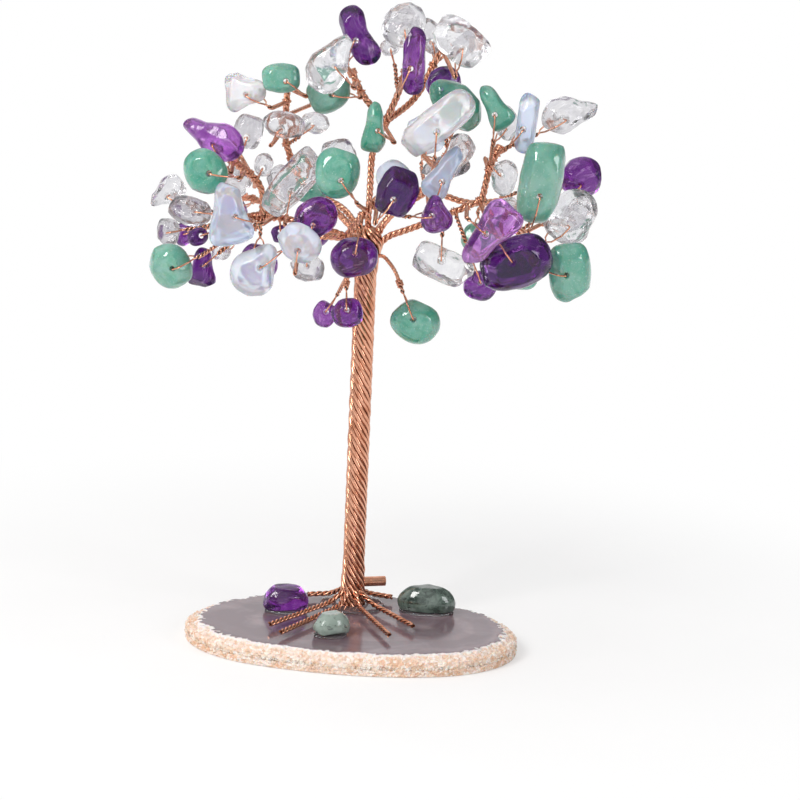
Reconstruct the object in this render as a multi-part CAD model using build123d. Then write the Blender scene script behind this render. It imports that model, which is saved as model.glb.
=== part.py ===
from build123d import *
import os
from math import cos, radians, sin, tan
from typing import NamedTuple

# A wire tree with drilled stone chips for leaves, glued to a slice of agate. Millimetres, +Z up.
# The origin is on the underside of the slice, below the trunk. The viewer looks along +Y.

# Driving dimensions of the tree
TREE_HEIGHT = 115.0
CROWN_HALF_DEPTH = 30.0

# The slice of agate
BASE_WIDTH = 60.0
BASE_DEPTH = 38.0
BASE_THICKNESS = 4.0
BASE_EDGE_ROUND = 1.0
TRUNK_SETBACK = 10.5
BASE_OUTLINE_SHARES = [
    (0.50, 0.02), (0.40, 0.30), (0.16, 0.46), (-0.10, 0.50), (-0.36, 0.36),
    (-0.50, 0.04), (-0.42, -0.26), (-0.20, -0.44), (0.12, -0.50), (0.40, -0.36),
]

# The rope of the trunk, its core rod and its roots
TRUNK_DIAMETER = 4.0
FOOT_DIAMETER = 4.8
FOOT_HEIGHT = 9.0
COLLAR_DIAMETER = 6.0
COLLAR_RISE = 8.0
CORE_DIAMETER = 1.8
CORE_FIT = 0.1
CORE_STUB_LENGTH = 6.0
CORE_STUB_HEIGHT = 4.4
CORE_STUB_ANGLE = 15.0
CORE_BEND = 1.4
ROOT_DIAMETER = 1.2
ROOT_RISE = 1.6
ROOT_SPREAD = 2.0

# The wires of the crown
STEM_DIAMETER = 1.7
HANGER_DIAMETER = 1.0
HANGER_DROP = 2.2
TWIG_DIAMETER = 0.8
WIRE_DIAMETER = 0.38
TWIST_LENGTH = 1.0
TWIG_LEAD = 0.8
LOOP_BEND = 0.5
KNOT_SHARE = 1.2
BEND_SHARE = 0.45
TWIG_BEND_SHARE = 0.9

# Clearances
WIRE_CLEARANCE = 0.2
HOLE_CLEARANCE = 0.3
BUTT_CLEARANCE = 0.05
HINGE_CLEARANCE = 0.1

# The clear glue
GLUE_THICKNESS = 0.5
FOOT_GLUE_DIAMETER = 13.0
STONE_GLUE_SHARE = 1.05

# Shares of a stone: its thickness from its width and length, its hole's place, its pillow-shaped sections
THICKNESS_OF_WIDTH_SHARE = 0.50
THICKNESS_OF_LENGTH_SHARE = 0.15
HOLE_PLACE_SHARE = 0.30
LOOP_SHOULDER_SHARE = 0.72
LOOP_SLOPE_SHARE = 0.55
PILLOW_SHARES = [(-0.50, 0.60), (0.0, 1.0), (0.50, 0.60)]
SEATED_SHARES = [(-0.50, 0.94), (-0.20, 1.0), (0.50, 0.52)]
FIRST_TWIG_SHARE = 0.45
LAST_TWIG_SHARE = 0.97

# Outlines of the stones, as shares of length and width. A drop points to +length, a wedge is wide there.
OUTLINE_SHARES = {
    "egg": [(-0.50, 0.00), (-0.37, 0.33), (0.02, 0.50), (0.37, 0.40),
            (0.50, 0.02), (0.38, -0.38), (0.00, -0.50), (-0.38, -0.35)],
    "drop": [(-0.50, 0.02), (-0.38, 0.38), (-0.05, 0.50), (0.28, 0.26), (0.50, 0.06),
             (0.47, -0.10), (0.20, -0.28), (-0.10, -0.48), (-0.40, -0.36)],
    "tablet": [(-0.50, 0.00), (-0.44, 0.36), (-0.24, 0.49), (0.20, 0.50), (0.44, 0.38),
               (0.50, 0.00), (0.44, -0.37), (0.22, -0.50), (-0.24, -0.48), (-0.44, -0.36)],
    "wedge": [(-0.50, 0.00), (-0.43, 0.22), (0.00, 0.37), (0.36, 0.50), (0.48, 0.36),
              (0.50, -0.02), (0.44, -0.44), (0.30, -0.48), (-0.05, -0.34), (-0.43, -0.21)],
    "bean": [(-0.50, 0.00), (-0.38, 0.40), (0.00, 0.50), (0.36, 0.42),
             (0.50, 0.04), (0.38, -0.36), (0.02, -0.32), (-0.38, -0.40)],
    "nugget": [(-0.50, 0.08), (-0.28, 0.46), (0.14, 0.50), (0.46, 0.26),
               (0.50, -0.14), (0.22, -0.48), (-0.22, -0.44), (-0.46, -0.24)],
}

# How the tree was measured: pixels of a square photograph taken from in front, a little above
VIEW_TILT = radians(14.0)
VIEW_LEAN = radians(2.5)
VIEW_DISTANCE = 650.0
VIEW_CENTRE_PX = (400.0, 400.0)
FOOT_PX = (352.0, 605.0)
COLLAR_PX = (369.0, 243.0)
TREE_PX = 600.0
MM_PER_PX = (TREE_HEIGHT - BASE_THICKNESS) * cos(VIEW_TILT) / TREE_PX


class Stone(NamedTuple):
    """One drilled chip: its middle and size in pixels, its depth, and the angles of its length and face."""

    kind: str
    outline: str
    spot_px: tuple
    size_px: tuple
    back_share: float
    turn: float
    face: tuple
    stem: int
    loose_name: str = ""


class Branch(NamedTuple):
    """One branch: its stems' points in pixels with depth shares, and its stones from the inside out."""

    diameter: float
    stems: list
    stones: list
    drop: float = 0.0


BRANCHES = {
    "left": Branch(
        STEM_DIAMETER,
        [
            [(310, 224, -0.10), (264, 214, -0.05), (234, 222, 0.10)],
            [(264, 214, -0.05), (262, 183, -0.05), (232, 160, -0.05)],
        ],
        [
            Stone("quartz", "tablet", (293, 182), (80, 34), -0.47, 49, (0, 0), 0),
            Stone("amethyst", "nugget", (281, 234), (22, 18), -0.15, 20, (0, 0), 0),
            Stone("opalite", "wedge", (229, 213), (64, 45), -0.60, -85, (0, 5), 0),
            Stone("quartz", "nugget", (221, 252), (22, 18), 0.20, 20, (-30, 10), 0),
            Stone("amethyst", "wedge", (202, 267), (40, 30), -0.10, -95, (-10, 0), 0),
            Stone("aventurine", "nugget", (171, 266), (46, 42), -0.37, 125, (-15, -10), 0),
            Stone("quartz", "nugget", (190, 211), (44, 31), -0.23, -10, (-10, 10), 0),
            Stone("amethyst", "nugget", (198, 237), (21, 18), -0.12, 30, (10, 15), 0),
            Stone("quartz", "egg", (168, 232), (30, 26), 0.05, 80, (-30, 0), 0),
            Stone("quartz", "drop", (167, 192), (44, 30), 0.00, 215, (-20, 0), 0, "left_tip_quartz"),
            Stone("amethyst", "nugget", (184, 234), (26, 22), 0.38, 60, (-25, 0), 0),
            Stone("quartz", "nugget", (264, 165), (24, 20), 0.36, 90, (0, 10), 1),
            Stone("quartz", "egg", (238, 182), (38, 28), 0.29, 60, (15, 0), 1),
            Stone("aventurine", "egg", (205, 171), (46, 42), -0.43, -60, (-10, 5), 1),
            Stone("quartz", "tablet", (248, 132), (36, 30), 0.17, 70, (10, 10), 1),
            Stone("amethyst", "drop", (213, 137), (68, 38), -0.17, 155, (-15, 10), 1, "left_drop_amethyst"),
        ],
    ),
    "upper_left": Branch(
        STEM_DIAMETER,
        [[(330, 205, 0.10), (296, 170, 0.10), (284, 140, 0.17), (288, 82, 0.12)]],
        [
            Stone("aventurine", "nugget", (311, 189), (36, 28), -0.10, 10, (10, 0), 0),
            Stone("quartz", "nugget", (315, 123), (30, 22), 0.12, -10, (15, 10), 0),
            Stone("quartz", "nugget", (284, 125), (44, 28), -0.05, -8, (-10, 0), 0),
            Stone("opalite", "egg", (328, 80), (46, 36), 0.40, 60, (150, 10), 0),
            Stone("opalite", "wedge", (246, 91), (42, 41), -0.13, 185, (-20, 5), 0),
            Stone(
                "aventurine", "tablet", (281, 78), (37, 28), -0.33, 0, (5, 10), 0,
                "upper_left_tip_aventurine",
            ),
        ],
    ),
    "top": Branch(
        STEM_DIAMETER,
        [
            [(370, 190, 0.00), (372, 150, 0.00), (385, 122, 0.00)],
            [(385, 122, 0.00), (362, 95, 0.00), (352, 72, 0.05)],
            [(385, 122, 0.00), (398, 95, 0.03), (408, 62, 0.08)],
            [(385, 122, 0.00), (418, 98, 0.18), (442, 46, 0.26)],
        ],
        [
            Stone("aventurine", "wedge", (374, 127), (50, 25), -0.50, -95, (5, 0), 0),
            Stone("aventurine", "nugget", (328, 92), (46, 40), -0.13, 45, (-10, 0), 1),
            Stone("quartz", "drop", (332, 62), (66, 42), -0.43, 60, (-5, 10), 1, "top_drop_quartz"),
            Stone("amethyst", "bean", (360, 35), (64, 31), -0.20, 115, (-10, 10), 1),
            Stone("quartz", "nugget", (390, 47), (20, 18), 0.10, 40, (0, 0), 2),
            Stone("amethyst", "tablet", (414, 61), (67, 23), -0.47, 88, (0, 5), 2),
            Stone("quartz", "egg", (404, 30), (36, 30), 0.35, 60, (170, 10), 2),
            Stone("quartz", "nugget", (404, 25), (46, 40), -0.17, 60, (0, 15), 2),
            Stone("quartz", "nugget", (462, 46), (36, 30), 0.42, 20, (200, 10), 3),
            Stone("quartz", "egg", (430, 36), (38, 22), 0.12, 100, (10, 0), 3),
            Stone("quartz", "tablet", (461, 42), (60, 40), -0.35, -40, (10, 10), 3, "top_tip_quartz"),
        ],
    ),
    "upper_right": Branch(
        STEM_DIAMETER,
        [[(400, 205, 0.02), (430, 185, -0.02), (456, 138, 0.00)]],
        [
            Stone("opalite", "wedge", (444, 172), (58, 28), -0.58, 237, (5, 5), 0),
            Stone("opalite", "tablet", (437, 124), (86, 34), -0.60, 39, (0, 5), 0),
            Stone("quartz", "egg", (446, 167), (52, 24), 0.30, 10, (0, 0), 0),
            Stone("quartz", "egg", (460, 150), (34, 28), -0.36, 60, (10, 0), 0),
            Stone("aventurine", "egg", (456, 104), (62, 40), -0.18, -48, (5, 0), 0),
            Stone("amethyst", "nugget", (443, 83), (36, 32), 0.03, 30, (10, 0), 0),
            Stone("aventurine", "nugget", (458, 104), (42, 34), 0.48, 20, (195, 5), 0),
        ],
    ),
    "right": Branch(
        STEM_DIAMETER,
        [
            [(410, 229, -0.05), (445, 216, -0.10), (482, 200, -0.10)],
            [(482, 200, -0.10), (490, 165, -0.08), (500, 148, -0.04)],
            [(482, 200, -0.10), (508, 212, 0.00), (530, 246, 0.10)],
        ],
        [
            Stone("quartz", "tablet", (441, 264), (66, 34), -0.50, -25, (0, 0), 0),
            Stone("amethyst", "nugget", (480, 286), (34, 30), -0.27, 0, (10, 0), 0),
            Stone("amethyst", "wedge", (489, 235), (72, 40), -0.80, 50, (0, 5), 0),
            Stone("amethyst", "egg", (515, 263), (76, 52), -0.55, 20, (5, -5), 0, "right_dark_amethyst"),
            Stone("quartz", "egg", (504, 178), (38, 27), 0.20, 80, (0, 0), 1),
            Stone("aventurine", "wedge", (495, 107), (48, 27), -0.27, -60, (0, 5), 1),
            Stone("quartz", "egg", (507, 122), (40, 27), 0.13, -70, (10, 0), 1),
            Stone("opalite", "tablet", (527, 123), (62, 21), -0.28, 82, (0, 0), 1),
            Stone("quartz", "drop", (570, 114), (62, 38), -0.10, 10, (15, 5), 1, "right_tip_quartz"),
            Stone("quartz", "nugget", (508, 207), (24, 20), -0.25, 20, (0, 0), 2),
            Stone("aventurine", "nugget", (518, 272), (44, 36), 0.28, 20, (170, -10), 2),
            Stone("aventurine", "tablet", (541, 181), (85, 42), -0.40, 80, (5, 0), 2),
            Stone("amethyst", "nugget", (581, 178), (44, 42), 0.17, 20, (20, 0), 2, "right_tip_amethyst"),
            Stone("quartz", "nugget", (571, 226), (40, 34), 0.38, 30, (160, 0), 2),
            Stone("quartz", "nugget", (571, 217), (58, 50), -0.13, 60, (15, 0), 2),
            Stone("aventurine", "tablet", (570, 272), (60, 41), -0.37, 95, (10, -5), 2),
        ],
    ),
    "front": Branch(
        STEM_DIAMETER,
        [
            [(356, 236, -0.24), (345, 238, -0.36)],
            [(345, 238, -0.36), (322, 236, -0.38), (292, 240, -0.36)],
            [(345, 238, -0.36), (362, 215, -0.42), (378, 200, -0.40)],
        ],
        [
            Stone("amethyst", "nugget", (316, 218), (44, 38), -0.60, 40, (-5, 5), 1),
            Stone("quartz", "egg", (307, 268), (36, 28), -0.30, -20, (0, -5), 1),
            Stone("opalite", "nugget", (299, 243), (44, 36), -0.82, -30, (0, 0), 1),
            Stone("opalite", "drop", (257, 268), (60, 47), -0.50, 55, (-10, -5), 1, "front_drop_opalite"),
            Stone("amethyst", "nugget", (354, 258), (46, 40), -0.62, 20, (0, 0), 2),
            Stone("aventurine", "egg", (337, 173), (50, 44), -0.70, 80, (0, 5), 2, "front_egg_aventurine"),
            Stone("amethyst", "drop", (436, 214), (38, 33), -0.80, 95, (5, 0), 2),
            Stone("amethyst", "tablet", (397, 192), (48, 38), -0.92, 65, (5, 5), 2),
        ],
    ),
    "right_hanger": Branch(
        HANGER_DIAMETER,
        [[(384, 256, -0.16), (395, 270, -0.22), (400, 284, -0.24)]],
        [Stone("aventurine", "nugget", (415, 322), (49, 43), -0.27, -20, (5, -5), 0, "hanging_aventurine")],
        HANGER_DROP,
    ),
    "left_hanger": Branch(
        HANGER_DIAMETER,
        [[(352, 264, -0.28), (346, 284, -0.28)]],
        [
            Stone("amethyst", "nugget", (325, 314), (28, 24), -0.05, 80, (-10, 0), 0),
            Stone("amethyst", "egg", (347, 313), (32, 30), -0.32, 10, (0, 0), 0, "hanging_amethyst"),
        ],
        HANGER_DROP,
    ),
    "back_left": Branch(
        STEM_DIAMETER,
        [
            [(345, 208, 0.30), (310, 192, 0.45)],
            [(310, 192, 0.45), (270, 204, 0.50), (242, 196, 0.46)],
        ],
        [
            Stone("quartz", "tablet", (340, 160), (46, 36), 0.75, 70, (185, 10), 0),
            Stone("amethyst", "egg", (312, 230), (40, 34), 0.62, 20, (170, 0), 0),
            Stone("quartz", "egg", (286, 184), (44, 36), 0.80, 30, (170, 0), 1),
            Stone("amethyst", "egg", (259, 262), (42, 36), 0.42, 20, (160, -10), 1),
            Stone("amethyst", "nugget", (231, 212), (44, 34), 0.70, 60, (155, -5), 1),
            Stone("quartz", "nugget", (206, 166), (36, 32), 0.60, 30, (150, 0), 1),
        ],
    ),
    "back_right": Branch(
        STEM_DIAMETER,
        [
            [(392, 212, 0.32), (430, 190, 0.50)],
            [(430, 190, 0.50), (470, 205, 0.45), (505, 200, 0.42)],
        ],
        [
            Stone("opalite", "egg", (396, 180), (44, 36), 0.75, 40, (180, 5), 0),
            Stone("opalite", "tablet", (426, 134), (44, 34), 0.75, 60, (190, 10), 0),
            Stone("aventurine", "egg", (480, 240), (42, 32), 0.52, 20, (200, -5), 1),
            Stone("aventurine", "drop", (538, 183), (46, 36), 0.55, 80, (205, 0), 1),
        ],
    ),
}


class Root(NamedTuple):
    """One root: the way it leaves the trunk, in degrees, and its tip in pixels."""

    start_angle: float
    tip_px: tuple


ROOTS = [
    Root(143.0, (308, 594)),
    Root(214.0, (270, 624)),
    Root(244.0, (281, 632)),
    Root(322.0, (413, 626)),
    Root(286.0, (389, 635)),
    Root(52.0, (392, 597)),
]

BASE_STONES = {
    "base_amethyst": Stone("amethyst", "nugget", (285, 610), (46, 33), 0.0, 10, (0, 90), 0),
    "base_aventurine": Stone("aventurine", "nugget", (331, 635), (38, 30), 0.0, 30, (0, 90), 0),
    "base_moss_stone": Stone("moss", "egg", (426, 612), (60, 32), 0.0, -5, (0, 90), 0),
}

# Sizes that follow from the values above
BASE_TOP = BASE_THICKNESS
HOLE_DIAMETER = WIRE_DIAMETER + 2 * HOLE_CLEARANCE
LEG_OFFSET = (WIRE_DIAMETER + BUTT_CLEARANCE) / 2
ROOT_LEVEL = BASE_TOP + GLUE_THICKNESS + ROOT_DIAMETER / 2 + BUTT_CLEARANCE


def straighten(spot_px):
    """A pixel's place to the right of and above the photograph's middle, with the lean taken out, in mm."""
    right = spot_px[0] - VIEW_CENTRE_PX[0]
    up = VIEW_CENTRE_PX[1] - spot_px[1]
    across = right * cos(VIEW_LEAN) - up * sin(VIEW_LEAN)
    lift = right * sin(VIEW_LEAN) + up * cos(VIEW_LEAN)
    return across * MM_PER_PX, lift * MM_PER_PX


def seen_at_depth(spot_px, y):
    """The point at depth y that the photograph shows at a pixel, from the middle of the view."""
    across, lift = straighten(spot_px)
    nearness = 1 + y * cos(VIEW_TILT) / VIEW_DISTANCE
    height = (lift * nearness - y * sin(VIEW_TILT)) / (cos(VIEW_TILT) + lift * sin(VIEW_TILT) / VIEW_DISTANCE)
    scale = nearness - height * sin(VIEW_TILT) / VIEW_DISTANCE
    return Vector(across * scale, y, height)


# The middle of the view, placed so that the foot of the trunk is over the origin
VIEW_CENTRE = Vector(0, 0, BASE_TOP) - seen_at_depth(FOOT_PX, 0)
COLLAR = Vector(0, 0, (seen_at_depth(COLLAR_PX, 0) + VIEW_CENTRE).Z)


def crown_point(u, v, back_share):
    return seen_at_depth((u, v), back_share * CROWN_HALF_DEPTH) + VIEW_CENTRE


def slab_point(spot_px, z):
    """The point at height z that the photograph shows at a pixel."""
    lift = straighten(spot_px)[1]
    height = z - VIEW_CENTRE.Z
    near_lift = lift * (1 - height * sin(VIEW_TILT) / VIEW_DISTANCE)
    y = (near_lift - height * cos(VIEW_TILT)) / (sin(VIEW_TILT) - lift * cos(VIEW_TILT) / VIEW_DISTANCE)
    point = seen_at_depth(spot_px, y) + VIEW_CENTRE
    return Vector(point.X, point.Y, z)


def wire_path(points, largest_bend=None, bend_share=BEND_SHARE):
    """Straight runs joined by arcs, each as wide as its runs allow, or as the largest bend."""
    if len(points) == 2:
        return Line(*points)
    bends = []
    for before, corner, after in zip(points, points[1:], points[2:]):
        half_turn = radians((corner - before).get_angle(after - corner)) / 2
        shorter = min((corner - before).length, (after - corner).length)
        widest = bend_share * shorter / tan(half_turn)
        bends.append(widest if largest_bend is None else min(widest, largest_bend))
    return FilletPolyline(*points, radius=bends)


def wire(path, diameter):
    section = Plane(origin=path @ 0, z_dir=path % 0) * Circle(diameter / 2)
    return sweep(section, path=path).solid()


# The stones

def stone_plane(stone, centre):
    """The plane of a stone's face, with x along its length and z out of the face."""
    yaw = radians(stone.face[0])
    pitch = radians(stone.face[1])
    out = Vector(sin(yaw) * cos(pitch), -cos(yaw) * cos(pitch), sin(pitch))
    right = Vector(cos(yaw), sin(yaw), 0)
    turn = radians(stone.turn) + VIEW_LEAN
    return Plane(origin=centre, x_dir=right * cos(turn) + out.cross(right) * sin(turn), z_dir=out)


def stone_sizes(stone):
    length = stone.size_px[0] * MM_PER_PX
    width = stone.size_px[1] * MM_PER_PX
    return length, width, THICKNESS_OF_WIDTH_SHARE * width + THICKNESS_OF_LENGTH_SHARE * length


def stone_section(stone, height_share, size_share):
    length, width, thickness = stone_sizes(stone)
    points = [
        Vector(along * length * size_share, beside * width * size_share, thickness * height_share)
        for along, beside in OUTLINE_SHARES[stone.outline]
    ]
    return Edge.make_spline(points, periodic=True)


def stone_rim(stone, direction):
    """How far the widest section reaches in a direction from the stone's middle."""
    section = stone_section(stone, 0, 1)
    steps = 90
    rim = [section @ (step / steps) for step in range(steps)]
    return max(rim, key=lambda point: point.normalized().dot(direction)).length


def stone_body(stone, hole=None, section_shares=PILLOW_SHARES):
    """The body of a stone in its own plane, drilled through its two flats at the hole's place."""
    sections = [Wire([stone_section(stone, *shares)]) for shares in section_shares]
    body = Solid.make_loft(sections)
    if hole is None:
        return body
    drill = Cylinder(HOLE_DIAMETER / 2, 2 * stone_sizes(stone)[2])
    return (body - Pos(hole.X, hole.Y, 0) * drill).solid()


class Hung(NamedTuple):
    """A stone hung on a stem: its solid, its wire loop, its twig and the axis of its hole."""

    stone: Stone
    body: Solid
    loop: Solid
    twig: Solid
    hole: Vector
    axis: Vector


def hang_stone(stone, stem_path, stem_diameter, along_share):
    """Drills a stone on its stem's side, loops a wire through it and twists the wire back to the stem."""
    centre = crown_point(*stone.spot_px, stone.back_share)
    plane = stone_plane(stone, centre)
    anchor = stem_path @ along_share
    to_anchor = plane.to_local_coords(anchor)
    way = Vector(to_anchor.X, to_anchor.Y, 0).normalized()
    rim = stone_rim(stone, way)
    hole = way * (rim * HOLE_PLACE_SHARE)

    side = stone_sizes(stone)[2] / 2 + WIRE_CLEARANCE + WIRE_DIAMETER / 2
    shoulder = rim * LOOP_SHOULDER_SHARE
    nose = rim + WIRE_CLEARANCE + WIRE_DIAMETER / 2
    start = nose + TWIST_LENGTH
    half_loop = [
        (start, LEG_OFFSET),
        (start - TWIST_LENGTH / 2, LEG_OFFSET),
        (nose, side * LOOP_SLOPE_SHARE),
        (shoulder, side),
        (rim * HOLE_PLACE_SHARE, side),
    ]
    mirrored = [(reach, -height) for reach, height in reversed(half_loop)]
    out = plane.z_dir
    way_out = plane.from_local_coords(way) - centre
    corners = [centre + way_out * reach + out * height for reach, height in half_loop + mirrored]
    loop = wire(wire_path(corners, LOOP_BEND), WIRE_DIAMETER)

    twig_start = centre + way_out * start
    twig_bend = twig_start + way_out * TWIG_LEAD
    stem_way = stem_path % along_share
    reach = twig_bend - anchor
    beside = (reach - stem_way * reach.dot(stem_way)).normalized()
    twig_end = anchor + beside * ((stem_diameter * KNOT_SHARE + TWIG_DIAMETER) / 2 + BUTT_CLEARANCE)
    twig_path = wire_path([twig_start, twig_bend, twig_end], bend_share=TWIG_BEND_SHARE)
    twig = wire(twig_path, TWIG_DIAMETER)
    return Hung(stone, plane * stone_body(stone, hole), loop, twig, centre + way_out * hole.length, out)


# The branches

def branch_paths(branch):
    """The stems' paths. The first starts at its hinge, just off the collar."""
    paths = []
    for number, stem in enumerate(branch.stems):
        points = [crown_point(*place) for place in stem]
        if number == 0:
            middle = COLLAR - Vector(0, 0, branch.drop)
            way = (points[0] - middle).normalized()
            ball_reach = branch.diameter * KNOT_SHARE / 2 + HINGE_CLEARANCE
            points.insert(0, middle + way * (COLLAR_DIAMETER / 2 + ball_reach))
        paths.append(wire_path(points))
    return paths


def branch_stems(branch, paths):
    """The stems of a branch as one solid, with a round knot at both ends of each."""
    pieces = [wire(path, branch.diameter) for path in paths]
    knots = []
    for path in paths:
        for end in (0, 1):
            knot = Plane(origin=path @ end, z_dir=path % end)
            if all((knot.origin - other.origin).length > BUTT_CLEARANCE for other in knots):
                knots.append(knot)
    pieces += [knot * Sphere(branch.diameter * KNOT_SHARE / 2) for knot in knots]
    return pieces[0].fuse(*pieces[1:]).solid()


def is_forked(branch):
    """Whether some stem leaves another, rather than going on from its end."""
    starts = [stem[0] for stem in branch.stems[1:]]
    ends = [stem[-1] for stem in branch.stems]
    return len(set(starts)) < len(starts) or not set(starts) <= set(ends)


def hung_stones(branch, paths):
    hung = []
    for number, path in enumerate(paths):
        stones = [stone for stone in branch.stones if stone.stem == number]
        span = LAST_TWIG_SHARE - FIRST_TWIG_SHARE
        for order, stone in enumerate(stones):
            along_share = FIRST_TWIG_SHARE + span * (order + 1) / len(stones)
            hung.append(hang_stone(stone, path, branch.diameter, along_share))
    return hung


def branch_nodes(name, branch):
    """The branch's nodes by name: its wires, a fork of its stems, its tight stones by kind, and each loose stone."""
    paths = branch_paths(branch)
    nodes = {f"{name}_wires": []}
    stem_node = f"{name}_stems" if is_forked(branch) else f"{name}_wires"
    nodes.setdefault(stem_node, []).append(branch_stems(branch, paths))
    for hung in hung_stones(branch, paths):
        nodes[f"{name}_wires"] += [hung.loop, hung.twig]
        node = hung.stone.loose_name or f"{name}_{hung.stone.kind}"
        nodes.setdefault(node, []).append(hung.body)
    return nodes


# The base and the trunk

def agate_slice():
    points = [
        Vector(across * BASE_WIDTH, deep * BASE_DEPTH - TRUNK_SETBACK, 0)
        for across, deep in BASE_OUTLINE_SHARES
    ]
    outline = Face(Wire([Edge.make_spline(points, periodic=True)]))
    slab = extrude(outline, amount=BASE_THICKNESS, dir=(0, 0, 1))
    rims = slab.edges().filter_by(GeomType.BSPLINE)
    return fillet(rims, BASE_EDGE_ROUND).solid()


def core_path(end_overrun):
    angle = radians(CORE_STUB_ANGLE)
    level = BASE_TOP + CORE_STUB_HEIGHT
    stub = Vector(CORE_STUB_LENGTH * cos(angle), CORE_STUB_LENGTH * sin(angle), level)
    top = Vector(0, 0, COLLAR.Z + end_overrun)
    return wire_path([stub, Vector(0, 0, level), top], CORE_BEND)


def trunk_rope():
    """The rope, turned about its axis, with a bore for the core rod that leaves it above the foot."""
    collar_radius = COLLAR_DIAMETER / 2
    profile = Polyline(
        (0, COLLAR.Z + collar_radius),
        (0, BASE_TOP),
        (FOOT_DIAMETER / 2, BASE_TOP),
        (TRUNK_DIAMETER / 2, BASE_TOP + FOOT_HEIGHT),
        (TRUNK_DIAMETER / 2, COLLAR.Z - COLLAR_RISE),
        (collar_radius, COLLAR.Z),
    )
    crown = CenterArc((0, COLLAR.Z), collar_radius, 0, 90)
    rope = revolve(Plane.XZ * make_face(profile + crown), Axis.Z)
    return (rope - wire(core_path(CORE_FIT), CORE_DIAMETER + 2 * CORE_FIT)).solid()


def root_wires():
    """The roots, from just off the rope down to the glue and along it to their tips."""
    leave = (FOOT_DIAMETER + ROOT_DIAMETER) / 2 + BUTT_CLEARANCE
    roots = []
    for root in ROOTS:
        way = Vector(cos(radians(root.start_angle)), sin(radians(root.start_angle)), 0)
        high = way * leave + Vector(0, 0, ROOT_LEVEL + ROOT_RISE)
        low = way * (leave + ROOT_SPREAD) + Vector(0, 0, ROOT_LEVEL)
        tip = slab_point(root.tip_px, ROOT_LEVEL)
        roots.append(wire(wire_path([high, low, tip]), ROOT_DIAMETER))
    return roots


def base_nodes():
    """The nodes of the base: slice, rope, core, roots, glue and the three stones glued on the slice."""
    ring = Circle(FOOT_GLUE_DIAMETER / 2) - Circle(FOOT_DIAMETER / 2 + BUTT_CLEARANCE)
    foot_glue = extrude(Plane.XY.offset(BASE_TOP) * ring, amount=GLUE_THICKNESS)
    nodes = {
        "agate_slice": [agate_slice()],
        "trunk_rope": [trunk_rope()],
        "core_rod": [wire(core_path(0), CORE_DIAMETER)],
        "root_wires": root_wires(),
        "clear_glue": foot_glue.solids(),
    }
    for name, stone in BASE_STONES.items():
        length, width, thickness = stone_sizes(stone)
        spot = slab_point(stone.spot_px, BASE_TOP)
        dab = Ellipse(length * STONE_GLUE_SHARE / 2, width * STONE_GLUE_SHARE / 2)
        dab = Pos(spot.X, spot.Y, BASE_TOP) * Rot(0, 0, stone.turn) * dab
        nodes["clear_glue"] += extrude(dab, amount=GLUE_THICKNESS).solids()
        centre = spot + Vector(0, 0, GLUE_THICKNESS + thickness / 2)
        nodes[name] = [stone_plane(stone, centre) * stone_body(stone, None, SEATED_SHARES)]
    return nodes


def all_nodes():
    nodes = base_nodes()
    for name, branch in BRANCHES.items():
        nodes.update(branch_nodes(name, branch))
    return nodes


os.makedirs("parts", exist_ok=True)
for node, solids in all_nodes().items():
    shape = solids[0] if len(solids) == 1 else Compound(solids)
    export_step(shape, f"parts/{node}.step")
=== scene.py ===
"""A copper wire tree with drilled stone chips for leaves, on a slice of agate. Metres, +Z up."""

from math import cos, pi, radians, sin, tan, tau
from typing import NamedTuple

import bmesh
import bpy
from bpy.props import FloatProperty, FloatVectorProperty, IntProperty, PointerProperty
from mathutils import Matrix, Vector, bvhtree, geometry, kdtree, noise


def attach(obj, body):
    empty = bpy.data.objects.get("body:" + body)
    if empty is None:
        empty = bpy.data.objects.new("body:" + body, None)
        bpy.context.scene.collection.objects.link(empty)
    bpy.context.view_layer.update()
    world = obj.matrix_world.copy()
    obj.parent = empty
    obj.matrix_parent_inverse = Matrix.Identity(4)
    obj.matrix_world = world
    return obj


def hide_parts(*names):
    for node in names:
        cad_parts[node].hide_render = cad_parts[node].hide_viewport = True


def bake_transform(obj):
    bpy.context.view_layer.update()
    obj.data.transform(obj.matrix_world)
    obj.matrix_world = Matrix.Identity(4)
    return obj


bl_info = {
    "name": "Gemstone tree ornament",
    "version": (1, 0, 0),
    "blender": (4, 5, 0),
    "location": "View3D > Sidebar > Gem Tree",
    "description": "Builds a copper wire tree with stone chips for leaves on a slice of agate",
    "category": "Object",
}

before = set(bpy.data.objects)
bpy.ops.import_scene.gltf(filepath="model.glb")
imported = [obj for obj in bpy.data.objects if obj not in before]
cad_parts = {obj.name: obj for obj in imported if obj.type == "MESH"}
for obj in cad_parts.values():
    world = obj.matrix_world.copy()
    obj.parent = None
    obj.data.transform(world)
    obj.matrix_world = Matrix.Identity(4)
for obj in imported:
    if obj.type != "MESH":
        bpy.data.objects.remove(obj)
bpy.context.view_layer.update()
MM = 0.001

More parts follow.
